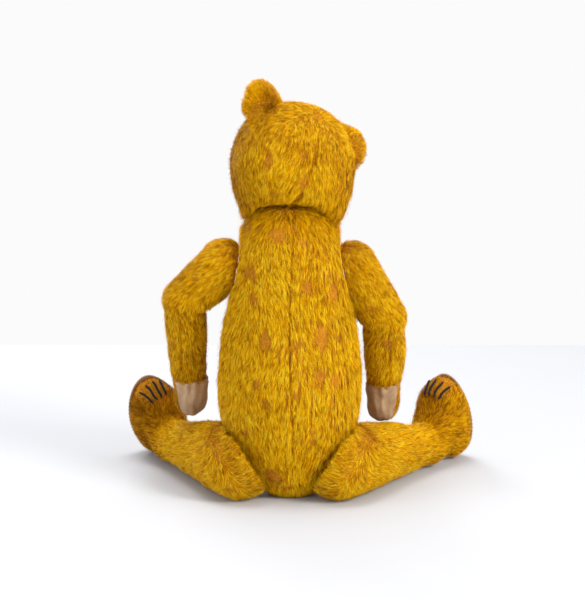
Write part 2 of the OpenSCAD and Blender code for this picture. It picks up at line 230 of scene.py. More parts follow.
def get_v(ob):
    a = np.empty(len(ob.data.vertices) * 3, np.float32)
    ob.data.vertices.foreach_get("co", a)
    return a.reshape(-1, 3).astype(float) / MM


def set_v(ob, V):
    ob.data.vertices.foreach_set("co", (np.asarray(V) * MM).astype(np.float32).ravel())
    ob.data.update()


def get_n(ob):
    a = np.empty(len(ob.data.vertices) * 3, np.float32)
    ob.data.vertices.foreach_get("normal", a)
    return a.reshape(-1, 3).astype(float)


def get_t(ob):
    ob.data.calc_loop_triangles()
    a = np.empty(len(ob.data.loop_triangles) * 3, np.int32)
    ob.data.loop_triangles.foreach_get("vertices", a)
    return a.reshape(-1, 3)


def clamp_to(ob, place, keep_out, gap, reach=999):
    """Flatten what passes a joint plane: keep_out True keeps the body below the plane, False above it."""
    V = get_v(ob)
    n = place.R[:, 2]
    q = place.into(V)
    d = np.where(np.hypot(q[:, 0], q[:, 1]) < reach, q[:, 2], -99 if keep_out else 99)
    if keep_out:
        V -= np.outer(np.maximum(d + gap, 0), n)
    else:
        V -= np.outer(np.minimum(d - gap, 0), n)
    set_v(ob, V)


def snap(ob, place, side, gap, reach=999):
    """Lay what is nearly at a joint's plane back against it."""
    V = get_v(ob)
    q = place.into(V)
    d = q[:, 2] * side
    w = smooth(3.2, 1.6, d) * (d > gap) * smooth(reach, reach - 3, np.hypot(q[:, 0], q[:, 1]))
    set_v(ob, V - np.outer((d - gap) * w * side, place.R[:, 2]))


def soften(ob, weight, rounds, factor=0.6):
    """Round off the mesh where weight is above 0."""
    V = get_v(ob)
    n = len(V)
    E = np.empty(len(ob.data.edges) * 2, np.int32)
    ob.data.edges.foreach_get("vertices", E)
    a, b = E.reshape(-1, 2).T
    deg = np.maximum(np.bincount(a, minlength=n) + np.bincount(b, minlength=n), 1)
    for _ in range(rounds):
        A = np.stack([(np.bincount(a, V[b, k], n) + np.bincount(b, V[a, k], n)) / deg for k in range(3)], 1)
        V = V + (A - V) * (factor * weight)[:, None]
    set_v(ob, V)


def tree_of(V, T):
    from mathutils.bvhtree import BVHTree
    return BVHTree.FromPolygons([tuple(v) for v in V], [tuple(int(i) for i in f) for f in T])


def node_tree_mm(name):
    ob = NODES[name]
    M = np.array(ob.matrix_world)
    V = np.empty(len(ob.data.vertices) * 3, np.float32)
    ob.data.vertices.foreach_get("co", V)
    V = (V.reshape(-1, 3) @ M[:3, :3].T + M[:3, 3]) / MM
    ob.data.calc_loop_triangles()
    T = np.empty(len(ob.data.loop_triangles) * 3, np.int32)
    ob.data.loop_triangles.foreach_get("vertices", T)
    return tree_of(V, T.reshape(-1, 3))


def hold_outside(ob, node, depth):
    """Bring the skin out to within depth mm of the design's cloth, wherever it has sunk inside it."""
    tree = node_tree_mm(node)
    V = get_v(ob)
    for i, v in enumerate(V):
        co, n, _, _ = tree.find_nearest(Vector(v))
        d = (Vector(v) - co).dot(n)
        if d < -depth and d > -14:
            V[i] = np.array(co - n * depth)
    set_v(ob, V)


def core(ob, name, body, node, inset=1.9):
    """The stuffing just inside a skin."""
    V, N = get_v(ob), get_n(ob)
    me = ob.data.copy()
    c = bpy.data.objects.new(name, me)
    bpy.context.scene.collection.objects.link(c)
    me.materials.clear()
    set_v(c, V - N * inset)
    m = c.modifiers.new("fuse", "REMESH")
    m.mode, m.voxel_size, m.use_smooth_shade = "VOXEL", 4.0 * MM, True
    m = c.modifiers.new("relax", "SMOOTH")
    m.iterations, m.factor = 2, 0.5
    bake(c)
    dress(c, WOOL)
    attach(c, body)
    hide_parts(node)
    return c


def relax(ob, rounds, factor=0.5):
    m = ob.modifiers.new("relax", "SMOOTH")
    m.iterations, m.factor = rounds, factor
    return bake(ob)


def puff(ob, pins, cap, pressure=3.2, frames=18):
    """Cloth under stuffing pressure: sewn lines (pins, 0..1) hold, the panels between them swell up to cap mm."""
    sc = bpy.context.scene
    g = ob.vertex_groups.new(name="sewn")
    start = get_v(ob)
    for w in (0.25, 0.5, 0.75, 1.0):
        idx = np.nonzero(np.abs(pins - w) < 0.125)[0]
        if len(idx):
            g.add([int(i) for i in idx], w, "REPLACE")
    c = ob.modifiers.new("cloth", "CLOTH")
    c.settings.quality = 5
    c.settings.mass = 0.3
    c.settings.tension_stiffness = c.settings.compression_stiffness = 18
    c.settings.bending_stiffness = 0.6
    c.settings.use_pressure = True
    c.settings.uniform_pressure_force = pressure
    c.settings.effector_weights.gravity = 0
    c.settings.vertex_group_mass = "sewn"
    c.settings.pin_stiffness = 1.0
    c.collision_settings.use_collision = False
    c.point_cache.frame_start, c.point_cache.frame_end = 1, frames
    for f in range(1, frames + 1):
        sc.frame_set(f)
    ob = bake(ob)
    sc.frame_set(1)
    V = get_v(ob)
    d = V - start
    ln = np.linalg.norm(d, axis=1)
    k = np.where(ln > cap, cap / np.maximum(ln, 1e-9), 1.0)
    set_v(ob, start + d * k[:, None])
    ob.vertex_groups.clear()
    return ob


# --------------------------------------------------------------- materials
def nodes_of(name):
    m = bpy.data.materials.new(name)
    m.use_nodes = True
    nt = m.node_tree
    p = next(n for n in nt.nodes if n.type == "BSDF_PRINCIPLED")
    return m, nt, p


def ramp(nt, src, stops):
    r = nt.nodes.new("ShaderNodeValToRGB")
    el = r.color_ramp.elements
    while len(el) > 1:
        el.remove(el[-1])
    el[0].position, el[0].color = stops[0][0], (*stops[0][1], 1)
    for pos, col in stops[1:]:
        e = el.new(pos)
        e.color = (*col, 1)
    nt.links.new(src, r.inputs[0])
    return r


def coords(nt, scale=(1, 1, 1)):
    tc = nt.nodes.new("ShaderNodeTexCoord")
    mp = nt.nodes.new("ShaderNodeMapping")
    mp.inputs["Scale"].default_value = scale
    nt.links.new(tc.outputs["Object"], mp.inputs["Vector"])
    return mp.outputs["Vector"]


def noise_tex(nt, vec, scale, detail=4, rough=0.55):
    n = nt.nodes.new("ShaderNodeTexNoise")
    n.inputs["Scale"].default_value = scale
    n.inputs["Detail"].default_value = detail
    n.inputs["Roughness"].default_value = rough
    nt.links.new(vec, n.inputs["Vector"])
    return n.outputs["Fac"]


def mixc(nt, fac, a, b, mode="MIX"):
    m = nt.nodes.new("ShaderNodeMix")
    m.data_type = "RGBA"
    m.blend_type = mode
    for sock, val in ((m.inputs[0], fac), (m.inputs[6], a), (m.inputs[7], b)):
        if hasattr(val, "is_linked"):
            nt.links.new(val, sock)
        elif isinstance(val, (int, float)):
            sock.default_value = val
        else:
            sock.default_value = (*val, 1)
    return m.outputs[2]


def bump(nt, p, height, strength, dist):
    b = nt.nodes.new("ShaderNodeBump")
    b.inputs["Strength"].default_value = strength
    b.inputs["Distance"].default_value = dist
    nt.links.new(height, b.inputs["Height"])
    nt.links.new(b.outputs["Normal"], p.inputs["Normal"])


def mathn(nt, op, a, b=0.0):
    m = nt.nodes.new("ShaderNodeMath")
    m.operation = op
    for sock, val in ((m.inputs[0], a), (m.inputs[1], b)):
        if hasattr(val, "is_linked"):
            nt.links.new(val, sock)
        else:
            sock.default_value = val
    return m.outputs[0]


def fur_material():
    m, nt, p = nodes_of("mohair_pile")
    uv = nt.nodes.new("ShaderNodeUVMap")
    uv.uv_map = "OFBake"
    sep = nt.nodes.new("ShaderNodeSeparateXYZ")
    nt.links.new(uv.outputs[0], sep.inputs[0])
    tone = ramp(nt, sep.outputs["X"], [
        (0.00, (0.14, 0.045, 0.001)), (0.16, (0.38, 0.145, 0.001)), (0.34, (0.72, 0.315, 0.001)),
        (0.52, (0.94, 0.47, 0.001)), (0.68, (1.0, 0.62, 0.002)), (0.80, (1.0, 0.76, 0.03)),
        (0.86, (0.55, 0.37, 0.02)), (0.90, (0.52, 0.18, 0.008)), (1.0, (0.62, 0.24, 0.03))])
    # painted shade: each fibre's colour darkens toward its root, deep in the pile
    root_shade = ramp(nt, sep.outputs["Y"], [(0.0, (0.26, 0.18, 0.08)), (0.35, (0.80, 0.75, 0.62)), (1.0, (1.0, 1.0, 1.0))])
    nt.links.new(mixc(nt, 1.0, tone.outputs[0], root_shade.outputs[0], "MULTIPLY"), p.inputs["Base Color"])
    p.inputs["Roughness"].default_value = 0.5
    p.inputs["Specular IOR Level"].default_value = 0.12
    p.inputs["Specular Tint"].default_value = (1.0, 0.75, 0.15, 1)
    p.inputs["Sheen Weight"].default_value = 0.04
    p.inputs["Sheen Roughness"].default_value = 0.4
    p.inputs["Sheen Tint"].default_value = (1.0, 0.78, 0.25, 1)
    return m


def backing_material():
    """The woven back that shows where the pile has worn away."""
    m, nt, p = nodes_of("mohair_backing")
    v = coords(nt)
    big = noise_tex(nt, v, 60, 4)
    fine = noise_tex(nt, v, 900, 2)
    c = ramp(nt, big, [(0.3, (0.42, 0.15, 0.006)), (0.55, (0.53, 0.19, 0.010)), (0.75, (0.60, 0.24, 0.03))])
    nt.links.new(mixc(nt, 0.4, c.outputs[0], ramp(nt, fine, [(0.3, (0.24, 0.08, 0.002)), (0.7, (0.80, 0.38, 0.02))]).outputs[0]), p.inputs["Base Color"])
    w = nt.nodes.new("ShaderNodeTexWave")
    w.inputs["Scale"].default_value = 320
    w.inputs["Distortion"].default_value = 1.2
    nt.links.new(v, w.inputs["Vector"])
    bump(nt, p, mathn(nt, "ADD", w.outputs["Fac"], fine), 0.35, 0.0004)
    p.inputs["Roughness"].default_value = 0.9
    p.inputs["Specular IOR Level"].default_value = 0.1
    return m


def cloth_material(name, light, dark, scale=1500, rough=0.75, sheen=0.4, stain=(0.35, 0.22, 0.14)):
    m, nt, p = nodes_of(name)
    v = coords(nt)
    big = noise_tex(nt, v, 45, 5)
    c = ramp(nt, big, [(0.28, stain), (0.45, dark), (0.68, light)])
    w1 = nt.nodes.new("ShaderNodeTexWave")
    w1.inputs["Scale"].default_value = scale * 0.5
    w1.inputs["Distortion"].default_value = 0.6
    w2 = nt.nodes.new("ShaderNodeTexWave")
    w2.bands_direction = "Z"
    w2.inputs["Scale"].default_value = scale * 0.5
    w2.inputs["Distortion"].default_value = 0.6
    nt.links.new(v, w1.inputs["Vector"])
    nt.links.new(v, w2.inputs["Vector"])
    weave = mathn(nt, "MULTIPLY", w1.outputs["Fac"], w2.outputs["Fac"])
    nt.links.new(mixc(nt, mathn(nt, "MULTIPLY", weave, 0.14), c.outputs[0], (0.95, 0.82, 0.66)), p.inputs["Base Color"])
    bump(nt, p, mathn(nt, "ADD", weave, mathn(nt, "MULTIPLY", noise_tex(nt, v, 350, 3), 1.5)), 0.3, 0.0004)
    p.inputs["Roughness"].default_value = rough
    p.inputs["Sheen Weight"].default_value = sheen
    return m


def thread_material(name, a, b):
    m, nt, p = nodes_of(name)
    v = coords(nt)
    n = noise_tex(nt, v, 1400, 3)
    nt.links.new(ramp(nt, n, [(0.3, a), (0.7, b)]).outputs[0], p.inputs["Base Color"])
    bump(nt, p, n, 0.4, 0.0003)
    p.inputs["Roughness"].default_value = 0.8
    p.inputs["Specular IOR Level"].default_value = 0.15
    p.inputs["Sheen Weight"].default_value = 0.05
    return m


def simple_material(name, a, b, scale, rough, metallic=0.0, stretch=(1, 1, 1), bump_s=0.15):
    m, nt, p = nodes_of(name)
    v = coords(nt, stretch)
    n = noise_tex(nt, v, scale, 5)
    nt.links.new(ramp(nt, n, [(0.3, a), (0.7, b)]).outputs[0], p.inputs["Base Color"])
    rr = nt.nodes.new("ShaderNodeMapRange")
    rr.inputs["To Min"].default_value, rr.inputs["To Max"].default_value = rough * 0.8, min(1, rough * 1.25)
    nt.links.new(n, rr.inputs["Value"])
    nt.links.new(rr.outputs[0], p.inputs["Roughness"])
    bump(nt, p, n, bump_s, 0.0004)
    p.inputs["Metallic"].default_value = metallic
    return m


FUR = fur_material()
BACKING = backing_material()
PAW = cloth_material("paw_cloth", (0.58, 0.39, 0.22), (0.36, 0.21, 0.10), stain=(0.17, 0.08, 0.03), sheen=0.1)
SOLE = cloth_material("sole_felt", (0.60, 0.36, 0.20), (0.50, 0.27, 0.14), 1100, 0.9, 0.6, (0.30, 0.13, 0.06))
BLACK = thread_material("black_floss", (0.008, 0.007, 0.006), (0.03, 0.027, 0.024))
SEAM = thread_material("brown_thread", (0.10, 0.04, 0.008), (0.24, 0.10, 0.02))
TAN = thread_material("tan_thread", (0.45, 0.33, 0.22), (0.62, 0.48, 0.34))
WOOL = simple_material("wood_wool", (0.42, 0.28, 0.12), (0.75, 0.58, 0.33), 260, 0.9, 0, (1, 1, 4), 0.8)
BOARD = simple_material("hardboard", (0.16, 0.09, 0.045), (0.30, 0.18, 0.10), 300, 0.8)
STEEL = simple_material("washer_steel", (0.45, 0.44, 0.43), (0.66, 0.65, 0.64), 160, 0.35, 1.0, (1, 1, 5))
PIN = simple_material("pin_steel", (0.22, 0.21, 0.20), (0.42, 0.41, 0.40), 220, 0.4, 1.0)
EYE = simple_material("button_eye", (0.010, 0.008, 0.007), (0.03, 0.022, 0.018), 30, 0.12, 0.0, (1, 1, 1), 0.02)


def dress(ob, *mats):
    ob.data.materials.clear()
    for m in mats:
        ob.data.materials.append(m)


# ------------------------------------------------------------------- skins
BODY_PROFILE = [(0, 0), (24, 0), (33, 8), (40, 19), (46, 32), (50.5, 45), (53.5, 57), (55.5, 70), (56, 82), (55.5, 96),
                (53.8, 115), (51, 137), (47.8, 158), (44.3, 179), (41.5, 193), (39, 203), (36, 211), (32.5, 218),
                (28, 224), (22, 229.3), (13, 233.5), (0, 236)]
SKULL_PROFILE = [(0, 0), (36, 0), (41.5, 8), (45.9, 18), (47.7, 31), (46.5, 43), (42, 56), (34, 67), (22, 75), (10, 78.7), (0, 79.5)]
MUZZLE_PROFILE = [(0, 0), (26, 0), (24, 14), (20, 29), (17, 41)] + arc(45.5, 14.5, 10, 90, 6)


def slim(ob, by=1.1):
    set_v(ob, get_v(ob) - get_n(ob) * by)


def lumps(ob, amount, scale, seed):
    V, N = get_v(ob), get_n(ob)
    set_v(ob, V + N * (vnoise(V, scale, seed) * amount)[:, None])


def groove(V, dist, depth, width):
    return -depth * np.exp(-(dist / width) ** 2)


def torso_skin():
    ob = fuse("torso_skin", [revolve(BODY_PROFILE, Place([0, 0, 0]), 96)], 3.2, 2)
    for s in (1, -1):
        clamp_to(ob, hip(s), True, 0.3)
    clamp_to(ob, NECK, True, 0.3)
    V = get_v(ob)
    w = smooth(10, 3, np.abs(NECK.into(V)[:, 2]))
    for s in (1, -1):
        w = np.maximum(w, smooth(9, 3, np.abs(hip(s).into(V)[:, 2])))
    soften(ob, w, 6)
    V = get_v(ob)
    seam = np.exp(-(V[:, 0] / 3.0) ** 2)
    pins = np.clip(np.round(np.maximum(seam, (V[:, 2] < 4) * 1.0) * 4) / 4, 0, 1)
    for s in (1, -1):
        for pl in (hip(s), shoulder(s)):
            q = pl.into(V)
            pins = np.maximum(pins, ((q[:, 2] > -2.5) & (np.hypot(q[:, 0], q[:, 1]) < 40)) * 1.0)
    pins = np.maximum(pins, (NECK.into(V)[:, 2] > -2.5) * 1.0)
    ob = puff(ob, pins, 2.0)
    slim(ob)
    lumps(ob, 0.9, 26, 3)
    lumps(ob, 0.35, 9, 4)
    V, N = get_v(ob), get_n(ob)
    back = (V[:, 1] > 0)
    # the body's sewn closing up the back, drawn in a little
    d = np.abs(V[:, 0] + 1 + 1.6 * np.sin(V[:, 2] / 31.0))
    set_v(ob, V + N * (groove(V, d, 0.9, 2.2) * smooth(30, 55, V[:, 2]) * smooth(236, 224, V[:, 2]) * np.where(back, 1, 0.6))[:, None])
    V = get_v(ob)
    for s in (1, -1):  # the hollow each arm's disc sits in
        q = shoulder(s).into(V)
        near = smooth(41, 37, np.hypot(q[:, 0], q[:, 1]))
        V -= np.outer(np.maximum(q[:, 2] + 0.3, 0) * near, shoulder(s).R[:, 2])
    V[:, 2] = np.maximum(V[:, 2], 0.0)
    set_v(ob, V)
    for s in (1, -1):
        clamp_to(ob, hip(s), True, 0.3)
        snap(ob, hip(s), -1, 0.3)
        snap(ob, shoulder(s), -1, 0.3, 36)
    clamp_to(ob, NECK, True, 0.3)
    return ob


def head_skin():
    ob = fuse("head_skin", [revolve(SKULL_PROFILE, SKULL, 96), revolve(MUZZLE_PROFILE, MUZZLE, 64)], 2.6, 7, 0.5)
    clamp_to(ob, NECK, False, 0.3)
    V = get_v(ob)
    soften(ob, smooth(9, 3, np.abs(NECK.into(V)[:, 2])) * (MUZZLE.into(V)[:, 2] < 6), 7)
    # the cheeks and nape roll down over the top of the body, clear of it all the way round
    V = get_v(ob)
    q = NECK.into(V)
    r = np.hypot(q[:, 0], q[:, 1])
    side = smooth(0.97, 0.30, q[:, 1] / np.maximum(r, 1))
    roll = 14.0 * side * smooth(28.5, 38, r) * smooth(26, 1, q[:, 2])
    pull = 1 - 0.06 * side * smooth(35, 41, r) * smooth(16, 0, q[:, 2])
    q[:, 0] *= pull
    q[:, 1] *= pull
    q[:, 2] -= roll
    set_v(ob, NECK.out(q))
    soften(ob, smooth(15, 6, np.abs(q[:, 2] + 3)) * (MUZZLE.into(V)[:, 2] < 6), 9)
    # never into the top of the body
    V = get_v(ob)
    q = NECK.into(V)
    r = np.hypot(q[:, 0], q[:, 1])
    low = -np.interp(r, [28, 29, 31, 33, 36, 39, 45], [-0.3, 0.3, 2.6, 5.0, 9.0, 13, 15])
    q[:, 2] = np.maximum(q[:, 2], low)
    set_v(ob, NECK.out(q))
    V = get_v(ob)
    q = HEAD.into(V)
    pins = np.exp(-(q[:, 0] / 2.6) ** 2) * ((q[:, 1] > 26) | (q[:, 2] < -12))
    pins = np.maximum(pins, (NECK.into(V)[:, 2] < 3) * 1.0)
    ob = puff(ob, np.clip(np.round(pins * 4) / 4, 0, 1), 1.2)
    slim(ob)
    lumps(ob, 0.8, 22, 8)
    V, N = get_v(ob), get_n(ob)
    q = HEAD.into(V)
    off = np.zeros(len(V))
    off += groove(V, np.abs(q[:, 0]), 1.0, 2.6) * smooth(22, 34, q[:, 1]) * smooth(38, 26, q[:, 2] * 0 + q[:, 2])
    # gusset seams from the crown past the eyes to the nose
    half = np.interp(q[:, 1], [-90, -62, -30, 0, 34], [9, 12, 23, 22, 0])
    off += groove(V, np.abs(np.abs(q[:, 0]) - half), 0.8, 2.0) * (q[:, 2] > -4)
    for s in (1, -1):
        d = np.linalg.norm(q - np.array([s * 17, -42, 9]), axis=1)
        off -= 2.2 * np.exp(-(d / 7.5) ** 2)
    off -= 1.2 * np.exp(-((q[:, 1] + 50) / 7.0) ** 2) * (q[:, 2] > -8)
    set_v(ob, V + N * off[:, None])
    clamp_to(ob, NECK, False, 0.3, 30)
    return ob


def arm_skin(s):
    side = "left" if s > 0 else "right"
    a, e, w = (np.array(x[s], float) for x in (ARM_A, ARM_E, ARM_W))
    l1, l2 = np.linalg.norm(e - a), np.linalg.norm(w - e)
    up = arc(0, 20, -90, 5, 10) + [(18.4, l1 * 0.55)] + arc(l1, 17, 5, 90, 10)
    fo = arc(4, 15.5, -90, -8, 8) + [(16, 24), (15.2, 44), (13.2, l2 - 16)] + arc(l2, 14.2, 0, 90, 9)
    ob = fuse("arm_%s_skin" % side, [revolve(up, run_place(a, e), 56), revolve(fo, run_place(e, w), 56)], 2.2, 4)
    # the paw curls in towards the body, and the tip flattens
    V = get_v(ob)
    t = smooth(w[2] + 34, w[2] - 12, V[:, 2]) * (V[:, 1] < 5)
    V[:, 0] -= s * 2.0 * t
    c = np.array([w[0] - s * 2.0, w[1], 0])
    V[:, :2] = np.where(t[:, None] > 0.5, c[:2] + (V[:, :2] - c[:2]) * (1 - 0.06 * t[:, None]), V[:, :2])
    V[:, 2] -= 3.0 * smooth(w[2] + 8, w[2] - 12, V[:, 2])
    set_v(ob, V)
    clamp_to(ob, shoulder(s), False, 0.3)
    V = get_v(ob)
    soften(ob, smooth(7, 2.5, np.abs(shoulder(s).into(V)[:, 2])), 6)
    V = get_v(ob)
    q = run_place(e, w).into(V)
    pins = np.maximum(np.exp(-((q[:, 2] - 3) / 5.0) ** 2) * 0.75, (shoulder(s).into(V)[:, 2] < 2.5) * 1.0)
    pins = np.maximum(pins, np.exp(-((V[:, 2] - (w[2] + 20)) / 3.5) ** 2) * (V[:, 1] < 6))
    ob = puff(ob, np.clip(np.round(pins * 4) / 4, 0, 1), 1.0)
    slim(ob, 0.9)
    lumps(ob, 0.8, 17, 12 + s)
    lumps(ob, 0.3, 7, 15 + s)
    # crease in the crook of the elbow
    V, N = get_v(ob), get_n(ob)
    bend = norm(norm(a - e) + norm(w - e))
    d = (V - e) @ norm(np.cross(bend, np.cross(norm(w - e), norm(a - e))))
    inside = smooth(2, 12, (V - e) @ bend)
    set_v(ob, V + N * (-2.4 * np.exp(-(d / 2.6) ** 2) * inside)[:, None])
    clamp_to(ob, shoulder(s), False, 0.3)
    snap(ob, shoulder(s), 1, 0.3, 36)
    return ob


def leg_skin(s):
    side = "left" if s > 0 else "right"
    L = leg_place(s)
    tube = arc(0, 30, -90, 0, 12) + [(27.6, 27), (24.4, 50), (21, 75), (17.8, 98)] + arc(116, 16.5, 0, 90, 8)
    parts = [revolve(tube, L.of([0, 0, 0], ry(95)), 72)]
    # the foot: a shaped block of rounded rings from the ankle to the sole
    S = sole_place(s)
    H = hip(s)
    ank = L.of([0, 0, 0], ry(95)).out([0, 0, 120])
    ring_n = 44

    def ring(c, nrm, up, a, b, sq=2.2):
        side_v = norm(np.cross(up, nrm))
        t = np.arange(ring_n) * 2 * math.pi / ring_n
        ca, sa = np.cos(t), np.sin(t)
        k = (np.abs(ca) ** sq + np.abs(sa) ** sq) ** (-1 / sq)
        return c + np.outer(ca * k * a, up) + np.outer(sa * k * b, side_v)

    n, up = S.R[:, 0], S.R[:, 2]
    rows = []
    ax = norm(S.p - ank + np.array([0, 0, -16]))
    rows.append(ring(ank - ax * 15, ax, norm(up - ax * (up @ ax)), 14.5, 14.5))
    rows.append(ring(ank - ax * 3, ax, norm(up - ax * (up @ ax)), 17, 17))
    for depth, a, b, lift in ((24, 27, 18.4, 1.0), (20, 32.0, 19.6, 1.5), (15, 35.6, 20.4, 1.2), (9, 37.6, 20.8, 0.6), (4, 38.2, 20.8, 0.2), (0.4, 38.0, 20.5, 0)):
        rows.append(ring(S.p - n * depth + up * lift, n, up, a, b))
    V = np.vstack([rows[0].mean(0)[None]] + rows + [rows[-1].mean(0)[None]])
    F = []
    m = len(rows)
    for k in range(ring_n):
        k2 = (k + 1) % ring_n
        F.append((0, 1 + k2, 1 + k))
        for i in range(m - 1):
            F.append((1 + i * ring_n + k, 1 + i * ring_n + k2, 1 + (i + 1) * ring_n + k2, 1 + (i + 1) * ring_n + k))
        F.append((1 + (m - 1) * ring_n + k, 1 + (m - 1) * ring_n + k2, len(V) - 1))
    parts.append((V, F))
    ob = fuse("leg_%s_skin" % side, parts, 2.5, 4)
    hold_outside(ob, "leg_" + side, 0.3)
    soften(ob, np.ones(len(ob.data.vertices)), 3)
    # the sole stays flat
    q = S.into(get_v(ob))
    q[:, 0] = np.minimum(q[:, 0], 0.2)
    set_v(ob, S.out(q))
    clamp_to(ob, hip(s), False, 0.3)
    V = get_v(ob)
    soften(ob, smooth(14, 4, np.abs(hip(s).into(V)[:, 2])), 20)
    V = get_v(ob)
    pins = np.maximum((S.into(V)[:, 0] > -4) * 1.0, (hip(s).into(V)[:, 2] < 2.5) * 1.0)
    ob = puff(ob, pins, 1.2)
    slim(ob, 0.9)
    lumps(ob, 1.0, 24, 20 + s)
    lumps(ob, 0.35, 8, 23 + s)
    q = S.into(get_v(ob))
    q[:, 0] = np.minimum(q[:, 0], 0.2)
    V = S.out(q)
    V[:, 2] = np.maximum(V[:, 2], 0.0)
    q = H.into(V)
    V -= np.outer(np.minimum(q[:, 2] - 0.3, 0), H.R[:, 2])
    # the soft back of the thigh swells a little past the disc's edge, over the seat
    q = H.into(V)
    V -= np.outer(5.5 * smooth(22, 46, V[:, 1]) * smooth(20, 0, q[:, 2]), H.R[:, 2])
    V[:, 2] = np.maximum(V[:, 2], 0.0)
    set_v(ob, V)
    soften(ob, smooth(16, 5, np.abs(H.into(V)[:, 2])) * smooth(20, 34, V[:, 1]), 15)
    snap(ob, H, 1, 0.3, 27)
    return ob


def ear_place(s):
    if s > 0:
        return HEAD.of([35.5, -1, 36.5], ry(38) @ rz(30))
    return HEAD.of([-36.5, -8, 24], ry(-55) @ rz(-22))


def ear_skin(s):
    side = "left" if s > 0 else "right"
    P = ear_place(s)
    R, nr, na = 18.8, 12, 48
    V, F = [], []
    for face in (1, -1):
        for i in range(nr + 1):
            rho = i / nr
            for k in range(na):
                a = 2 * math.pi * k / na
                x, z = R * rho * math.cos(a), R * rho * math.sin(a) * 1.03
                if z < 0:  # broad where it is sewn on
                    x *= min(1.32, 0.97 / math.sqrt(max(0.05, 1 - (z / R) ** 2)))
                mid = 3.0 - 7.5 * rho ** 2.2 + 1.2 * math.sin(a * 2 + 0.8) * rho ** 2
                mid -= 2.6 * math.exp(-((z + 3 - 0.4 * x * s) / 2.8) ** 2)
                th = 2.9 * (1 - rho ** 5) + 0.35
                V.append((x, mid + face * th, z))
    ring = na * (nr + 1)
    for b in (0, ring):
        for i in range(nr):
            for k in range(na):
                k2 = (k + 1) % na
                q = (b + i * na + k, b + i * na + k2, b + (i + 1) * na + k2, b + (i + 1) * na + k)
                F.append(q if b else q[::-1])
    for k in range(na):
        k2 = (k + 1) % na
        F.append((nr * na + k, nr * na + k2, ring + nr * na + k2, ring + nr * na + k)[::-1])
    ob = fuse("ear_%s_skin" % side, [(P.out(np.array(V)), F)], 1.5, 3)
    lumps(ob, 0.6, 9, 31 + s)
    # the base tucks under the head's cloth
    V = get_v(ob)
    c = SKULL.out([0, 0, 32])
    d = np.linalg.norm(V - c, axis=1)
    V = np.where((d < 45.5)[:, None], c + norm(V - c) * np.maximum(d, 45.5)[:, None], V)
    set_v(ob, V)
    return ob


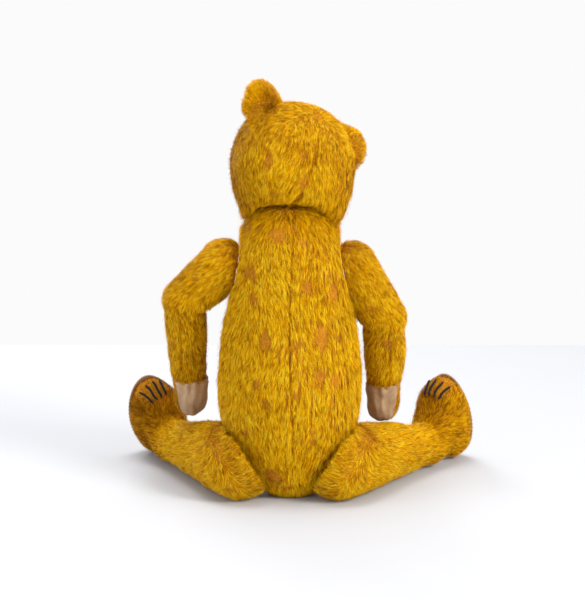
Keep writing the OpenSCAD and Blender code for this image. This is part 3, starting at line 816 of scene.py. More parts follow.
# --------------------------------------------------------------------- fur
def fur(part, body, ob, n, length, comb, mask, seed, lift=(8, 30), width=0.36, tone=0.5, clump=0.42, clump_gap=1.9, limit=60000, planes=()):
    """Mohair as tapering ribbons of cloth-coloured fibre, in pieces that ride on the body."""
    r = np.random.default_rng(seed)
    V, N, T = get_v(ob), get_n(ob), get_t(ob)
    A, B, C = V[T[:, 0]], V[T[:, 1]], V[T[:, 2]]
    area = np.linalg.norm(np.cross(B - A, C - A), axis=1) / 2
    pick = np.searchsorted(np.cumsum(area) / area.sum(), r.random(n))
    pick = np.minimum(pick, len(T) - 1)
    u, v = r.random(n), r.random(n)
    flip = u + v > 1
    u[flip], v[flip] = 1 - u[flip], 1 - v[flip]
    w0 = (1 - u - v)[:, None]
    P = A[pick] * w0 + B[pick] * u[:, None] + C[pick] * v[:, None]
    Nn = norm(N[T[pick, 0]] * w0 + N[T[pick, 1]] * u[:, None] + N[T[pick, 2]] * v[:, None])
    keep, scale, shade, lay = mask(P, Nn)
    ok = r.random(n) < keep
    P, Nn, scale, shade, lay = P[ok], Nn[ok], scale[ok], shade[ok], lay[ok]
    n = len(P)
    D = comb(P, Nn)
    D = norm(D - Nn * np.sum(D * Nn, 1)[:, None])
    # wander of the nap, in broad swirls and strand by strand
    S = np.cross(Nn, D)
    turn = 0.30 * vnoise(P, 19, seed) + 0.24 * vnoise(P, 6.5, seed + 1) + r.normal(0, 0.15, n)
    D = D * np.cos(turn)[:, None] + S * np.sin(turn)[:, None]
    ln = length * scale * r.uniform(0.7, 1.2, n)
    ang = np.radians(r.uniform(*lift, n) + 7 * vnoise(P, 5, seed + 2)) * lay
    fly = (r.random(n) < 0.06) & (lay > 0.6)
    ang = np.where(fly, np.radians(r.uniform(30, 62, n)), ang)
    mid = P + D * (ln * 0.45 * np.cos(ang * 1.25))[:, None] + Nn * (ln * 0.45 * np.sin(ang * 1.25) + 0.15 + 0.2 * np.minimum(lay, 1))[:, None]
    tip = mid + D * (ln * 0.55 * np.cos(ang * 0.35))[:, None] + Nn * (ln * 0.55 * np.sin(ang * 0.35))[:, None]
    # locks: neighbours lean their tips together
    g = clump_gap
    jit = np.stack([vnoise(P, g * 1.7, seed + 5 + k) for k in range(3)], 1) * g * 0.5
    cell = np.floor((P + jit) / g).astype(np.int64)
    key = cell[:, 0] * 73856093 ^ cell[:, 1] * 19349663 ^ cell[:, 2] * 83492791
    _, inv = np.unique(key, return_inverse=True)
    cnt = np.bincount(inv)
    cen = np.stack([np.bincount(inv, tip[:, k]) / cnt for k in range(3)], 1)[inv]
    kk = (clump * r.uniform(0.35, 1.0, n) * ~fly)[:, None]
    pull = cen - tip
    pull -= D * np.sum(pull * D, 1)[:, None] * 0.75
    tip = tip + pull * kk
    mid = mid + pull * kk * 0.35
    # roll of each ribbon, so it catches the light its own way
    roll = r.normal(0, 0.55, n)
    S = np.cross(Nn, D)
    W = norm(S * np.cos(roll)[:, None] + Nn * np.sin(roll)[:, None])
    wd = width * r.uniform(0.65, 1.25, n)
    verts = np.empty((n, 5, 3))
    verts[:, 0] = P - Nn * 0.25 - W * (wd * 0.5)[:, None]
    verts[:, 1] = P - Nn * 0.25 + W * (wd * 0.5)[:, None]
    verts[:, 2] = mid + W * (wd * 0.42)[:, None]
    verts[:, 3] = mid - W * (wd * 0.42)[:, None]
    verts[:, 4] = tip
    for pl, sg, reach, over in planes:
        n_ = pl.R[:, 2] * sg
        root = (P - pl.p) @ n_
        q = pl.into(verts.reshape(-1, 3))
        d = q[:, 2].reshape(n, 5) * sg
        lim = np.where(root > 2.0, -over * smooth(2, 6, root), 0.06)[:, None]
        near = (np.hypot(q[:, 0], q[:, 1]) < reach).reshape(n, 5)
        verts += (np.maximum(lim - d, 0) * near)[:, :, None] * n_
    verts[:, :, 2] = np.maximum(verts[:, :, 2], 0.05)
    lock = np.sin(key.astype(float) * 0.37) * 0.5
    tn = tone + 0.36 * lock + 0.09 * vnoise(P, 15, seed + 9) + 0.08 * vnoise(P, 5, seed + 12) + r.normal(0, 0.17, n)
    tn = np.clip(tn, 0.02, 0.79)
    tn = np.where(r.random(n) < 0.06, r.uniform(0.76, 0.87, n), tn)
    # shade above 0 gives that share of fibres the worn tan tones; below 0 it darkens the tone: painted shade in
    # creases, under the head and on the shaded foot, and real wear on the toes and darker seams
    tn = np.where(shade > 0, np.where(r.random(n) < shade, r.uniform(0.88, 0.99, n), tn), np.clip(tn + shade, 0.02, 0.9))
    order = r.permutation(n)
    k = max(1, math.ceil(n / limit))
    out = []
    for i in range(k):
        idx = order[i::k]
        out.append(ribbons("%s_pile_%d" % (part, i + 1), verts[idx], tn[idx]))
        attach(out[-1], body)
    return out


def ribbons(name, verts, tone):
    n = len(verts)
    me = bpy.data.meshes.new(name)
    me.vertices.add(n * 5)
    me.vertices.foreach_set("co", (verts * MM).astype(np.float32).ravel())
    base = (np.arange(n) * 5)[:, None]
    loops = (base + np.array([0, 1, 2, 3, 3, 2, 4])[None]).astype(np.int32)
    me.loops.add(n * 7)
    me.loops.foreach_set("vertex_index", loops.ravel())
    me.polygons.add(n * 2)
    start = (np.arange(n) * 7)[:, None] + np.array([0, 4])[None]
    me.polygons.foreach_set("loop_start", start.astype(np.int32).ravel())
    me.polygons.foreach_set("use_smooth", np.ones(n * 2, bool))
    uv = me.uv_layers.new(name="OFBake")
    vv = np.array([0.02, 0.02, 0.5, 0.5, 0.5, 0.5, 0.98])
    uu = np.repeat(tone[:, None], 7, 1)
    uu = uu + np.array([-1, 1, 1, -1, -1, 1, 0])[None] * 0.004
    uv.data.foreach_set("uv", np.stack([uu, np.repeat(vv[None], n, 0)], 2).astype(np.float32).ravel())
    me.update(calc_edges=True)
    me.validate()
    ob = bpy.data.objects.new(name, me)
    bpy.context.scene.collection.objects.link(ob)
    dress(ob, FUR)
    return ob


def spots(P, centres):
    """0..1, how bald each point is."""
    out = np.zeros(len(P))
    for (x, y, z), rad in centres:
        d = np.linalg.norm((P - (x, y, z)) / np.array(rad), axis=1)
        out = np.maximum(out, smooth(1.15, 0.35, d + 0.30 * vnoise(P, 4.2, 41)))
    return out


TORSO_SPOTS = [((-24, 47, 134), (9, 12, 13)), ((-25, 51, 107), (8, 12, 12)), ((-7, 54, 130), (5, 9, 6)), ((20, 50, 131), (9, 12, 12)),
               ((28, 40, 164), (5, 9, 8)), ((-14, 45, 174), (5, 9, 8)), ((32, 32, 183), (9, 10, 9)), ((10, 34, 212), (9, 10, 8)), ((-33, 33, 168), (5, 9, 11)),
               ((-2, 35, 216), (4, 9, 4)), ((-11, 38, 206), (4, 9, 4)), ((-37, 38, 133), (4, 9, 4)), ((-50, 24, 115), (4, 9, 5)),
               ((12, 38, 22), (9, 12, 7)), ((3, 40, 14), (6, 12, 5)), ((-5, 53, 92), (4, 9, 5)), ((24, 50, 100), (4, 9, 7)),
               ((19, 52, 86), (4, 9, 5)), ((-33, 46, 101), (4, 9, 6)), ((-18, 50, 55), (3.5, 9, 4)), ((34, 40, 60), (4, 9, 4)), ((16, 40, 27), (7, 12, 6)),
               ((0, -54, 120), (9, 12, 10)), ((20, -48, 90), (5, 9, 6)), ((-22, -46, 150), (5, 9, 6)), ((-46, -18, 168), (5, 9, 6))]


def flat_at(P, pl, sg, reach=999):
    """1 on the face a joint presses against, where the pile lies crushed."""
    q = pl.into(P)
    return smooth(1.8, 0.7, q[:, 2] * sg) * (np.hypot(q[:, 0], q[:, 1]) < reach)


def torso_mask(P, N):
    keep = np.ones(len(P))
    flat = flat_at(P, NECK, -1)
    for s in (1, -1):
        q = shoulder(s).into(P)
        near = smooth(24, 17, np.hypot(q[:, 0], q[:, 1]))
        keep *= 1 - near * smooth(-3.0, -0.8, q[:, 2])
        flat = np.maximum(flat, flat_at(P, hip(s), -1))
    keep *= smooth(0.15, 1.2, P[:, 2]) * (1 - 0.3 * flat)
    bald = spots(P, TORSO_SPOTS)
    wear = smooth(0.35, 0.85, vnoise(P, 11, 77)) * 0.25
    seam = np.exp(-((P[:, 0] + 1 + 1.6 * np.sin(P[:, 2] / 31.0)) / 1.1) ** 2) * (P[:, 1] > 0) * smooth(36, 50, P[:, 2])
    keep *= (1 - 0.84 * bald) * (1 - 0.5 * seam) * (1 - 0.35 * wear)
    scale = (1 - 0.55 * bald) * (1 - 0.35 * seam)
    low = smooth(16, 4, P[:, 2])
    # Bald patches take worn tan tones; elsewhere the pile is painted darker just below the head, painted shade under
    # it.
    shade = np.where(bald > 0.25, 0.85 * bald, -0.10 * smooth(200, 214, P[:, 2]))
    shade = np.where((seam > 0.3) & (bald < 0.2), -0.28 * seam, shade)
    # Where the pile lies crushed against a hip or the neck it is painted darker: painted shade in the crease.
    shade = np.where(flat > 0.3, -0.25 * flat, shade)
    return keep, scale * (1 - 0.4 * low) * (1 - 0.35 * flat) * (1 + 0.2 * smooth(206, 222, P[:, 2])), shade, (1 - 0.3 * bald) * (1 - 0.96 * flat)


def torso_comb(P, N):
    D = np.tile(np.array([0, 0, -1.0]), (len(P), 1))
    side = np.sign(P[:, 0]) * smooth(0, 9, np.abs(P[:, 0])) * smooth(45, 10, np.abs(P[:, 0]))
    D[:, 0] += 0.20 * side * np.sin(P[:, 2] / 17.0 + 1)
    low = smooth(60, 20, P[:, 2])
    D[:, 0] -= 0.5 * low * np.sign(P[:, 0]) * smooth(2, 20, np.abs(P[:, 0]))
    # a ruff stands up where the head is pulled down on the body
    up = smooth(229, 232, P[:, 2])
    D[:, 2] += 2.0 * up
    D[:, 0] *= 1 - up
    return D


def head_mask(P, N):
    q = HEAD.into(P)
    flat = flat_at(P, NECK, 1, 30)
    keep = 1 - 0.3 * flat
    bald = spots(q, [((8, 44, 12), (4, 9, 5)), ((2, 47, -8), (4, 9, 8)), ((30, 34, 0), (5, 9, 8)), ((20, 40, -22), (5, 9, 5)),
                     ((0, -48, 22), (9, 9, 6)), ((0, -66, 6), (7, 10, 6))])
    mz = smooth(-52, -62, q[:, 1])
    bald = np.maximum(bald, mz * 0.45 * (0.7 + 0.6 * vnoise(P, 6, 51)))
    for s in (1, -1):
        d = np.linalg.norm(q - np.array([s * 17, -42, 9]), axis=1)
        keep *= smooth(5.5, 7.0, d)
    nose = (q[:, 1] < -76) & (np.abs(q[:, 0]) < 9.5) & (q[:, 2] > -20)
    keep *= ~nose
    seam = np.exp(-(q[:, 0] / 1.1) ** 2) * (q[:, 1] > 26) * smooth(38, 28, q[:, 2])
    keep *= (1 - 0.72 * bald) * (1 - 0.5 * seam)
    neck = smooth(7, -1, NECK.into(P)[:, 2])
    # The -0.12 * neck term is painted shade, darker low on the head where it rolls down onto the body.
    shade = np.where(bald > 0.25, 0.5 * bald, -0.22 * seam - 0.12 * neck)
    return keep, (1 - 0.5 * bald) * (1 - 0.5 * mz) * (1 + 0.40 * neck), shade, 1 - 0.96 * flat


def head_comb(P, N):
    q = HEAD.into(P)
    front = smooth(-8, -34, q[:, 1])
    D = np.zeros((len(P), 3))
    D[:, 1] = 1.0
    up = 0.55 * front * smooth(-10, 10, q[:, 2]) - 0.9 * (1 - front) * smooth(-30, 14, q[:, 1]) - 0.25
    D[:, 2] = up
    D[:, 0] = 0.45 * np.sign(q[:, 0]) * smooth(2, 20, np.abs(q[:, 0])) * smooth(40, 10, q[:, 2]) * (1 - front)
    top = (smooth(14, 32, q[:, 2]) * smooth(38, 18, q[:, 1]) * smooth(-40, -20, q[:, 1]))[:, None]
    out_ = np.stack([1.2 * np.sign(q[:, 0]) * smooth(0, 10, np.abs(q[:, 0])), -0.45 + 0 * q[:, 0], 0.1 + 0 * q[:, 0]], 1)
    D = D * (1 - 0.9 * top) + out_ * top
    rim = (smooth(12, 0, NECK.into(P)[:, 2]) * smooth(-30, 0, q[:, 1]))[:, None]
    D = D * (1 - rim) + np.array([0, 0.15, -1.0]) * rim
    # the nap parts round each ear's root
    for s in (1, -1):
        c = np.array([s * 36, 2, 32.0])
        d = q - c
        w = smooth(26, 12, np.linalg.norm(d, axis=1))
        D += norm(d) * (w * 1.3)[:, None]
    return D @ HEAD.R.T


def arm_mask(s):
    e, w = np.array(ARM_E[s], float), np.array(ARM_W[s], float)

    def mask(P, N):
        flat = flat_at(P, shoulder(s), 1)
        keep = (1 - 0.3 * flat) * (1 - palm(s, P, 0.0))
        cs = [((72, 15, 178), (5, 7, 9)), ((92, -6, 118), (4, 8, 6))] if s > 0 else [((-77, 4, 119), (5, 9, 8)), ((-62, 12, 150), (4, 8, 4))]
        bald = spots(P, cs)
        seam = np.exp(-(seam_x(s, P) / 1.0) ** 2) * (P[:, 1] > e[1] + (P[:, 2] - e[2]) * 0.35) * smooth(e[2] + 6, e[2] - 4, P[:, 2]) * smooth(88, 98, P[:, 2])
        keep = keep * (1 - 0.72 * bald) * (1 - 0.5 * seam)
        shade = np.where(bald > 0.25, 0.5 * bald, -0.25 * seam)
        q = palm(s, P, 6.0)
        shade = np.where((shade == 0), -0.10 * q - 0.12 * smooth(135, 95, P[:, 2]), shade)
        return keep, (1 - 0.5 * bald) * (1 - 0.25 * q) * (1 - 0.35 * flat), shade, 1 - 0.96 * flat
    return mask


HEM = 15.5


def seam_x(s, P):
    e, w = np.array(ARM_E[s], float), np.array(ARM_W[s], float)
    t = (e[2] - P[:, 2]) / (e[2] - w[2])
    return P[:, 0] - (e[0] + (w[0] - e[0]) * t) - s * 4.0


def palm(s, P, grow):
    """1 where the cloth paw pad lies: below the wrist, facing back and inwards."""
    w = np.array(ARM_W[s], float)
    q = (P - np.array([w[0] - s * 1.0, w[1], w[2] + HEM])) @ rz(s * 58)
    return smooth(-2.6 - grow - 0.6, -2.6 - grow + 0.6, q[:, 1]) * smooth(grow + 0.7, grow - 0.7, q[:, 2] + 0.05 * q[:, 0])


def arm_comb(s):
    a, e, w = (np.array(x[s], float) for x in (ARM_A, ARM_E, ARM_W))

    def comb(P, N):
        k = smooth(e[2] + 14, e[2] - 14, P[:, 2])[:, None]
        D = norm(e - a) * (1 - k) + norm(w - e) * k
        D = D + np.array([s * -0.25, 0.0, 0.0]) * k
        return D
    return comb


def leg_mask(s):
    S, L = sole_place(s), leg_place(s)

    def mask(P, N):
        flat = flat_at(P, hip(s), 1) * smooth(40, 31, P[:, 1])
        q = S.into(P)
        keep = (1 - 0.3 * flat) * smooth(-0.4, -1.4, q[:, 0])
        toe = np.linalg.norm((q - np.array([-12, 0, 30])) / np.array([15, 15, 12]), axis=1)
        worn = smooth(1.15, 0.7, toe + 0.2 * vnoise(P, 5, 61))
        cs = [((58, 26, 22), (7, 9, 6)), ((46, 46, 16), (6, 9, 5))] if s > 0 else [((-60, 20, 30), (6, 9, 5)), ((-100, -40, 42), (6, 9, 5))]
        bald = spots(P, cs) * 0.8
        keep *= (1 - 0.45 * worn) * (1 - 0.8 * bald)
        low = smooth(5, 1, P[:, 2])
        shade = np.where(worn > 0.3, -0.34, np.where(bald > 0.3, 0.5 * bald, 0))
        # Painted shade: the pile is darker round the ankle's bend and over the foot, much more on the left foot, which
        # stands in shade.
        ankle = np.exp(-((L.into(P)[:, 0] - 112) / 14.0) ** 2)
        foot = smooth(104, 132, L.into(P)[:, 0])
        shade = np.where(shade == 0, -0.08 * ankle - (0.34 if s > 0 else 0.12) * foot, shade)
        # Where the pile lies crushed against the hip it is painted darker: painted shade in the crease.
        shade = np.where(flat > 0.3, -0.25 * flat, shade)
        return keep, (1 - 0.60 * worn) * (1 - 0.5 * bald) * (1 - 0.35 * low) * (1 - 0.25 * smooth(-20, 0, q[:, 0])) * (1 - 0.35 * flat), shade, 1 - 0.96 * flat
    return mask


def leg_comb(s):
    S, L = sole_place(s), leg_place(s)

    def comb(P, N):
        q = L.into(P)
        D = np.zeros((len(P), 3))
        D[:, 0] = 1.0
        D[:, 2] = -0.35 * smooth(105, 40, q[:, 0])
        f = smooth(112, 132, q[:, 0]) * smooth(26, 50, P[:, 2])
        D[:, 0] = D[:, 0] * (1 - 0.7 * f)
        D[:, 2] = D[:, 2] * (1 - f) + 0.9 * f
        D = D @ L.R.T
        h = hip(s).into(P)
        # the nap swings round from along the leg, down, and then over the seam at the seat
        w = (smooth(30, 2, h[:, 2]) * smooth(0, 24, P[:, 1]))[:, None]
        return D * (1 - w) + np.array([0, 0.45, -0.9]) * (4.0 * w * (1 - w)) - 0.75 * hip(s).R[:, 2] * w
    return comb


def ear_mask(s):
    P0 = ear_place(s)

    def mask(P, N):
        q = P0.into(P)
        c = SKULL.out([0, 0, 32])
        keep = smooth(46.5, 48.5, np.linalg.norm(P - c, axis=1))
        inner = smooth(0.2, 0.6, -(N @ P0.R[:, 1]))
        rho = np.hypot(q[:, 0], q[:, 2]) / 18.8
        worn = smooth(0.25, 0.75, 0.5 + 0.6 * vnoise(P, 7, 71 + s)) * smooth(0.95, 0.75, rho)
        keep *= 1 - 0.45 * worn
        # Worn patches take tan tones; elsewhere the pile is painted darker, most toward the ear's middle: painted
        # shade.
        shade = np.where(worn > 0.35, 0.6 * worn, -0.10 - 0.18 * (1 - smooth(0.3, 0.9, rho)))
        return keep, (1 - 0.3 * worn) * (1 - 0.25 * inner), shade, np.ones(len(P)) * 1.35
    return mask


def ear_comb(s):
    P0 = ear_place(s)

    def comb(P, N):
        q = P0.into(P)
        q[:, 1] = 0
        q[:, 2] += 8
        return norm(q) @ P0.R.T
    return comb


# ------------------------------------------------------------------- build
torso = torso_skin()
head = head_skin()
arms = {s: arm_skin(s) for s in (1, -1)}
legs = {s: leg_skin(s) for s in (1, -1)}
ears = {s: ear_skin(s) for s in (1, -1)}
SIDE = {1: "left", -1: "right"}

for ob, body, reps in [(torso, "torso", ("torso_left", "torso_right")), (head, "head", ("head_left", "head_right", "head_gusset"))] + \
        [(arms[s], "arm_" + SIDE[s], ("arm_" + SIDE[s],)) for s in (1, -1)] + \
        [(legs[s], "leg_" + SIDE[s], ("leg_" + SIDE[s],)) for s in (1, -1)] + \
        [(ears[s], "head", ("ear_" + SIDE[s],)) for s in (1, -1)]:
    dress(ob, BACKING)
    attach(ob, body)
    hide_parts(*reps)

fur("torso", "torso", torso, 205000, 6.4, torso_comb, torso_mask, 101, width=0.27, tone=0.55,
    planes=[(hip(1), -1, 999, 0.9), (hip(-1), -1, 999, 0.9), (NECK, -1, 40, 3.6), (shoulder(1), -1, 22, 0.9), (shoulder(-1), -1, 22, 0.9)])
fur("head", "head", head, 100000, 5.8, head_comb, head_mask, 202, width=0.26, tone=0.45, planes=[(NECK, 1, 30, 0.9)])
for s in (1, -1):
    fur("arm_" + SIDE[s], "arm_" + SIDE[s], arms[s], 48000, 5.4, arm_comb(s), arm_mask(s), 303 + s, width=0.26, tone=0.48 if s < 0 else 0.45,
        planes=[(shoulder(s), 1, 999, 1.8)])
    fur("leg_" + SIDE[s], "leg_" + SIDE[s], legs[s], 64000, 5.6, leg_comb(s), leg_mask(s), 404 + s, width=0.26, planes=[(hip(s), 1, 27, 0.9)])
    fur("ear_" + SIDE[s], "head", ears[s], 11000, 4.6, ear_comb(s), ear_mask(s), 505 + s, lift=(20, 50), width=0.26)

core(torso, "torso_wood_wool", "torso", "torso_stuffing")
core(head, "head_wood_wool", "head", "head_stuffing")
for s in (1, -1):
    core(arms[s], "arm_%s_wood_wool" % SIDE[s], "arm_" + SIDE[s], "arm_stuffing_" + SIDE[s])
    core(legs[s], "leg_%s_wood_wool" % SIDE[s], "leg_" + SIDE[s], "leg_stuffing_" + SIDE[s])


def surface_of(ob):
    """A nearest-point query on a skin, in millimetres."""
    t = tree_of(get_v(ob), get_t(ob))

    def near(p):
        co, n, _, _ = t.find_nearest(Vector(p))
        return np.array(co), np.array(n)
    return near


def tube(name, lines, radius, mat, body, slot, seg=8):
    """Threads as solid tubes with rounded ends; lines are lists of points in millimetres."""
    V, F = [], []
    for pts in lines:
        pts = np.array(pts, float)
        rad = np.full(len(pts), radius)
        rad[0] = rad[-1] = radius * 0.45
        tan = norm(np.gradient(pts, axis=0))
        ref = np.array([0.31, 0.52, 0.79])
        base = len(V)
        for p, t, rr in zip(pts, tan, rad):
            a = norm(np.cross(t, ref))
            b = np.cross(t, a)
            for k in range(seg):
                th = 2 * math.pi * k / seg
                V.append(p + (a * math.cos(th) + b * math.sin(th)) * rr)
        m = len(pts)
        for i in range(m - 1):
            for k in range(seg):
                k2 = (k + 1) % seg
                F.append((base + i * seg + k, base + i * seg + k2, base + (i + 1) * seg + k2, base + (i + 1) * seg + k))
        F.append(tuple(base + k for k in range(seg))[::-1])
        F.append(tuple(base + (m - 1) * seg + k for k in range(seg)))
    ob = new_mesh(name, np.array(V) * MM, F)
    dress(ob, mat)
    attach(ob, body)
    return ob


# ---- claws: heavy floss over the toes
for s in (1, -1):
    near = surface_of(legs[s])
    S = sole_place(s)
    lines = []
    for i, lat in enumerate((-1.5, -0.5, 0.5, 1.5)):
        pts = []
        for a in np.linspace(74, 140 - 4 * abs(lat), 14):
            c = rx(lat * 24) @ np.array([17 * math.cos(math.radians(a)), 0, 17 * math.sin(math.radians(a))])
            p, n = near(S.out(np.array([-14, 0, 21]) + c))
            w = 0.5 * math.sin(a * 0.11 + i)
            pts.append(p + n * 1.0 + S.R[:, 1] * w)
        lines.append(pts)
    ob = tube("claws_" + SIDE[s], lines, 0.95, BLACK, "leg_" + SIDE[s], "black_thread")
    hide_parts("claw_stitches_" + SIDE[s])

# ---- soles: felt with a slight crown, whipped round the edge
for s in (1, -1):
    S = sole_place(s)
    nr, na = 14, 72
    V, F = [], []
    for face in (0, 1):
        for i in range(nr + 1):
            rho = i / nr
            for k in range(na):
                a = 2 * math.pi * k / na
                x = 0.2 + (1.5 + 1.2 * (1 - rho ** 2)) * face if rho < 0.999 else 0.2 + 0.5 * face
                V.append((x, 20.3 * rho * math.sin(a), 37.8 * rho * math.cos(a)))
    V = np.array(V)
    V[:, 0] += np.where(V[:, 0] > 0.8, 0.35 * vnoise(V, 11, 91 + s), 0)
    ring = na * (nr + 1)
    for b in (0, ring):
        for i in range(nr):
            for k in range(na):
                k2 = (k + 1) % na
                q = (b + i * na + k, b + i * na + k2, b + (i + 1) * na + k2, b + (i + 1) * na + k)
                F.append(q[::-1] if b else q)
    for k in range(na):
        k2 = (k + 1) % na
        F.append((nr * na + k, nr * na + k2, ring + nr * na + k2, ring + nr * na + k))
    ob = new_mesh("sole_" + SIDE[s], S.out(V) * MM, F)
    bm_fix = ob.data
    dress(ob, SOLE)
    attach(ob, "leg_" + SIDE[s])
    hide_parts("foot_pad_" + SIDE[s])
    lines = []
    for k in range(62):
        a = 2 * math.pi * k / 62
        e = np.array([0, 20.4 * math.sin(a), 37.9 * math.cos(a)])
        inn = e * (1 - 0.055)
        lines.append([S.out(e * 1.012 + [-1.3, 0, 0]), S.out(e * 1.02 + [0.3, 0, 0]), S.out(e * 0.995 + [1.2, 0, 0]), S.out(inn + [1.75, 0, 0])])
    tube("sole_stitches_" + SIDE[s], lines, 0.3, TAN, "leg_" + SIDE[s], "sole_felt", 6)

# ---- paw pads: cloth drawn over the palm, gathered at the wrist
for s in (1, -1):
    ob = arms[s]
    V, N, T = get_v(ob), get_n(ob), get_t(ob)
    inside = palm(s, V, 1.2)
    sel = (inside[T] > 0.5).all(axis=1)
    used = np.unique(T[sel])
    remap = -np.ones(len(V), int)
    remap[used] = np.arange(len(used))
    F = remap[T[sel]]
    V, N = V[used], N[used]
    pad = new_mesh("paw_pad_%s_cloth" % SIDE[s], (V + N * 0.5) * MM, F)
    m = pad.modifiers.new("sub", "SUBSURF")
    m.levels = m.render_levels = 1
    m.subdivision_type = "SIMPLE"
    pad = bake(pad)
    V, N = get_v(pad), get_n(pad)
    w = np.array(ARM_W[s], float)
    q = (V - np.array([w[0] - s, w[1], w[2] + HEM])) @ rz(s * 58)
    around = np.arctan2(V[:, 0] - w[0], V[:, 1] - w[1])
    down = -q[:, 2]
    fold = np.sin(around * 13 + 0.9 * np.sin(down * 0.23) + 2 * vnoise(V, 9, 95)) * (np.exp(-down / 11.0) * 0.9 + 0.12)
    sag = 0.55 * vnoise(V, 7.5, 97 + s) + 0.35 * np.sin(around * 4 + down * 0.35)
    edge = 1 - palm(s, V, 0.2)
    off = 0.5 + fold + sag * 0.9 + 0.7 * np.exp(-((down - 6) / 4.0) ** 2) - edge * 0.5
    set_v(pad, V + N * np.maximum(off, 0.15)[:, None])
    m = pad.modifiers.new("thick", "SOLIDIFY")
    m.thickness, m.offset = 0.0006, -1
    pad = bake(pad)
    pad.data.polygons.foreach_set("use_smooth", [True] * len(pad.data.polygons))
    dress(pad, PAW)
    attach(pad, "arm_" + SIDE[s])
    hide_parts("paw_pad_" + SIDE[s])
    # hand stitches that tie the cloth to the mohair across the wrist
    near = surface_of(pad)
    lines = []
    c0 = np.array([w[0] - s, w[1], w[2] + HEM])
    R = rz(s * 58)
    for k in range(22):
        x = -15 + 30 * k / 21
        for_y = math.sqrt(max(0, 15.5 ** 2 - x * x))
        if for_y < 2:
            continue
        p = c0 + R @ np.array([x, for_y, 1.0 - 0.05 * x])
        a, n1 = near(p + [0, 0, 1.8 + 0.8 * math.sin(k * 2.1)])
        b, n2 = near(p + R @ np.array([0.5 * math.sin(k * 1.7), 0, -3.2 - 0.9 * math.cos(k * 1.3)]))
        lines.append([a + n1 * 0.1, (a + b) / 2 + (n1 + n2) * 0.3, b + n2 * 0.1])
    tube("paw_stitches_" + SIDE[s], lines, 0.28, TAN, "arm_" + SIDE[s], "paw_cloth", 6)

# ---- seams: thread lying in the drawn-in lines
near = surface_of(torso)
line = []
for z in np.linspace(48, 226, 112):
    p, n = near([-1 - 1.6 * math.sin(z / 31.0), 60, z])
    line.append(p + n * 0.25)
cross = []
for i in range(27, 110, 2):
    p = line[i]
    _, n = near(p)
    side_v = norm(np.cross(n, [0, 0, 1.0]))
    j = 0.7 * math.sin(i * 2.3)
    cross.append([p - side_v * 1.5 + [0, 0, -0.8 + j * 0.4] + n * 0.1, p + n * 0.55, p + side_v * 1.5 + [0, 0, 0.8 + j * 0.3] + n * 0.1])
tube("back_seam", [line] + cross, 0.33, SEAM, "torso", "mohair", 6)
near = surface_of(head)
line = []
for a in np.linspace(-14, 30, 44):
    p, n = near(SKULL.out([0, 80 * math.cos(math.radians(a)), 32 + 80 * math.sin(math.radians(a))]))
    line.append(p - n * 0.12)
line = [line[0]] + [(line[i - 1] + line[i] * 2 + line[i + 1]) / 4 for i in range(1, len(line) - 1)] + [line[-1]]
tube("head_seam", [line], 0.32, SEAM, "head", "mohair", 6)
for s in (1, -1):
    near = surface_of(arms[s])
    e, w = np.array(ARM_E[s], float), np.array(ARM_W[s], float)
    line = []
    for t in np.linspace(0.05, 0.66, 30):
        c = e + (w - e) * t
        p, n = near(c + np.array([s * 4.0, 30, 8]))
        line.append(p + n * 0.15)
    tube("arm_seam_" + SIDE[s], [line], 0.28, SEAM, "arm_" + SIDE[s], "mohair", 6)

# ---- face
near = surface_of(head)
for s in (1, -1):
    c = HEAD.out([s * 17, -42, 9])
    p, n = near(c)
    # a domed boot button on its wire shank, sitting in its socket
    prof = [(0, -2.2), (3.4, -2.2), (4.6, -1.7), (5.25, -0.6), (5.35, 0.1), (5.0, 1.3), (4.1, 2.5), (2.6, 3.4), (1.2, 3.75), (0, 3.85)]
    V, F = revolve(prof, Place([0, 0, 0]), 40, 0.8)
    z = n
    x = norm(np.cross([0, 0, 1.0], z))
    y = np.cross(z, x)
    M = np.stack([x, y, z], 1)
    ob = new_mesh("button_eye_" + SIDE[s], ((V @ M.T) + p + n * 1.3) * MM, F)
    dress(ob, EYE)
    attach(ob, "head")
    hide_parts("eye_" + SIDE[s])
lines = []
for k in range(13):
    x = -8.4 + 16.8 * k / 12
    top, bot = 9.2 - 0.03 * x * x, -3.5 + 0.115 * x * x
    pts = []
    for t in np.linspace(0, 1, 7):
        y = top + (bot - top) * t
        # laid over the rounded tip of the muzzle
        g = MUZZLE.out([x, y, 52 + math.sqrt(max(0, 14.5 ** 2 - min(x * x + y * y, 200)))])
        p, n = near(g)
        pts.append(p + n * (0.75 + 0.15 * math.sin(k * 1.9)))
    lines.append(pts)
ob = tube("nose_floss", lines, 0.85, BLACK, "head", "black_thread")
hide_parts("nose_stitching")
lines = []
pts = []
for t in np.linspace(0, 1, 7):
    p, n = near(MUZZLE.out([0, -3.2 - 5.4 * t, 62 - 3 * t]))
    pts.append(p + n * 0.45)
lines.append(pts)
for s in (1, -1):
    pts = []
    for t in np.linspace(0, 1, 8):
        p, n = near(MUZZLE.out([s * 10 * t, -8.6 - 4.4 * t, 59 - 7 * t]))
        pts.append(p + n * 0.45)
    lines.append(pts)
ob = tube("mouth_floss", lines, 0.6, BLACK, "head", "black_thread")
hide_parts("mouth_stitching")

# ---- what the cloth hides
for name, ob in NODES.items():
    if name.endswith("_disc"):
        dress(ob, BOARD)
    elif name.endswith("_washer"):
        dress(ob, STEEL)
    elif name.endswith("_pin"):
        dress(ob, PIN)

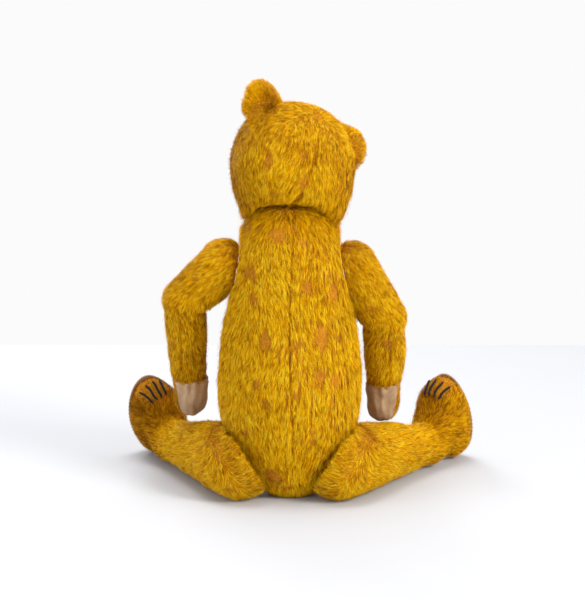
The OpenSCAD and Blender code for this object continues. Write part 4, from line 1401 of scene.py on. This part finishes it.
# ------------------------------------------------------------------- stage
def stage_plane(name, pts, col, rough):
    ob = new_mesh(name, pts, [tuple(range(len(pts)))], False)
    m, nt, p = nodes_of(name)
    n = noise_tex(nt, coords(nt), 6, 3)
    c2 = tuple(c * 0.985 for c in col)
    nt.links.new(ramp(nt, n, [(0.3, c2), (0.7, col)]).outputs[0], p.inputs["Base Color"])
    p.inputs["Roughness"].default_value = rough
    # beyond the lamps' pool the paper glows (painted light), so it stays as pale as the wall
    g = nt.nodes.new("ShaderNodeNewGeometry")
    far = nt.nodes.new("ShaderNodeVectorMath")
    far.operation = "LENGTH"
    nt.links.new(g.outputs["Position"], far.inputs[0])
    glow = nt.nodes.new("ShaderNodeMapRange")
    glow.interpolation_type = "SMOOTHSTEP"
    for i, v in ((1, 0.75), (2, 1.7), (3, 0.0), (4, 0.46)):
        glow.inputs[i].default_value = v
    nt.links.new(far.outputs["Value"], glow.inputs[0])
    p.inputs["Emission Color"].default_value = (1, 1, 1, 1)
    nt.links.new(glow.outputs[0], p.inputs["Emission Strength"])
    ob.data.materials.append(m)
    return ob


floor = stage_plane("floor", [(-3, -0.535, 0), (3, -0.535, 0), (3, 3, 0), (-3, 3, 0)], (0.600, 0.612, 0.640), 0.75)

# when a leg swings down, the floor is where its lowest point stands
marks = []


def mark(name, p, body=None):
    m = bpy.data.objects.new(name, None)
    m.empty_display_size = 0.004
    m.location = Vector(p)
    bpy.context.scene.collection.objects.link(m)
    m.parent = body
    marks.append(m)


mark("floor_at_rest", (0, 0, 0))
for s in (1, -1):
    V = get_v(legs[s])
    for k, a in enumerate(np.linspace(0, 2 * math.pi, 20, endpoint=False)):
        low = V[np.argmin(V @ np.array([0, math.cos(a), math.sin(a)]))]
        mark("stand_%s_%d" % (SIDE[s], k), low * MM + [0, 0, 0.0003], NODES["leg_" + SIDE[s]].parent)
drv = floor.driver_add("location", 2).driver
drv.type = "MIN"
for i, m in enumerate(marks):
    var = drv.variables.new()
    var.name = "z%d" % i
    var.type = "TRANSFORMS"
    var.targets[0].id = m
    var.targets[0].transform_type = "LOC_Z"
    var.targets[0].transform_space = "WORLD_SPACE"

world = bpy.data.worlds.new("studio")
bpy.context.scene.world = world
world.use_nodes = True
wt = world.node_tree
bg = wt.nodes["Background"]
lp = wt.nodes.new("ShaderNodeLightPath")
wt.links.new(mixc(wt, lp.outputs["Is Camera Ray"], (0.73, 0.73, 0.74), (0.965, 0.965, 0.965)), bg.inputs[0])
bg.inputs[1].default_value = 1.0


def lamp(name, loc, target, size, power, col=(1, 1, 1)):
    l = bpy.data.lights.new(name, "AREA")
    l.shape, l.size, l.energy, l.color = "DISK", size, power, col
    o = bpy.data.objects.new(name, l)
    o.location = loc
    o.rotation_euler = (Vector(target) - Vector(loc)).to_track_quat("-Z", "Y").to_euler()
    bpy.context.scene.collection.objects.link(o)


lamp("key", (-1.15, 0.95, 0.95), (0, 0, 0.15), 0.6, 22, (1.0, 0.985, 0.94))
lamp("top", (0.1, 0.1, 1.5), (0, 0, 0.1), 0.9, 10)
lamp("left", (1.35, 0.9, 0.55), (0, 0, 0.15), 1.0, 5)
lamp("front", (0.6, -1.5, 0.8), (0, 0, 0.15), 1.0, 11)

cam = bpy.data.cameras.new("camera")
cam.sensor_width = 36
cam.lens = 115.4
cam.clip_start, cam.clip_end = 0.05, 30
co = bpy.data.objects.new("camera", cam)
bpy.context.scene.collection.objects.link(co)
el = math.radians(11.0)
tgt = Vector((-0.002, 0.0, 0.153))
co.location = tgt + Vector((0, math.cos(el), math.sin(el))) * 1.5
co.rotation_euler = (tgt - co.location).to_track_quat("-Z", "Y").to_euler()
bpy.context.scene.camera = co
bpy.context.scene.view_settings.view_transform = "Standard"
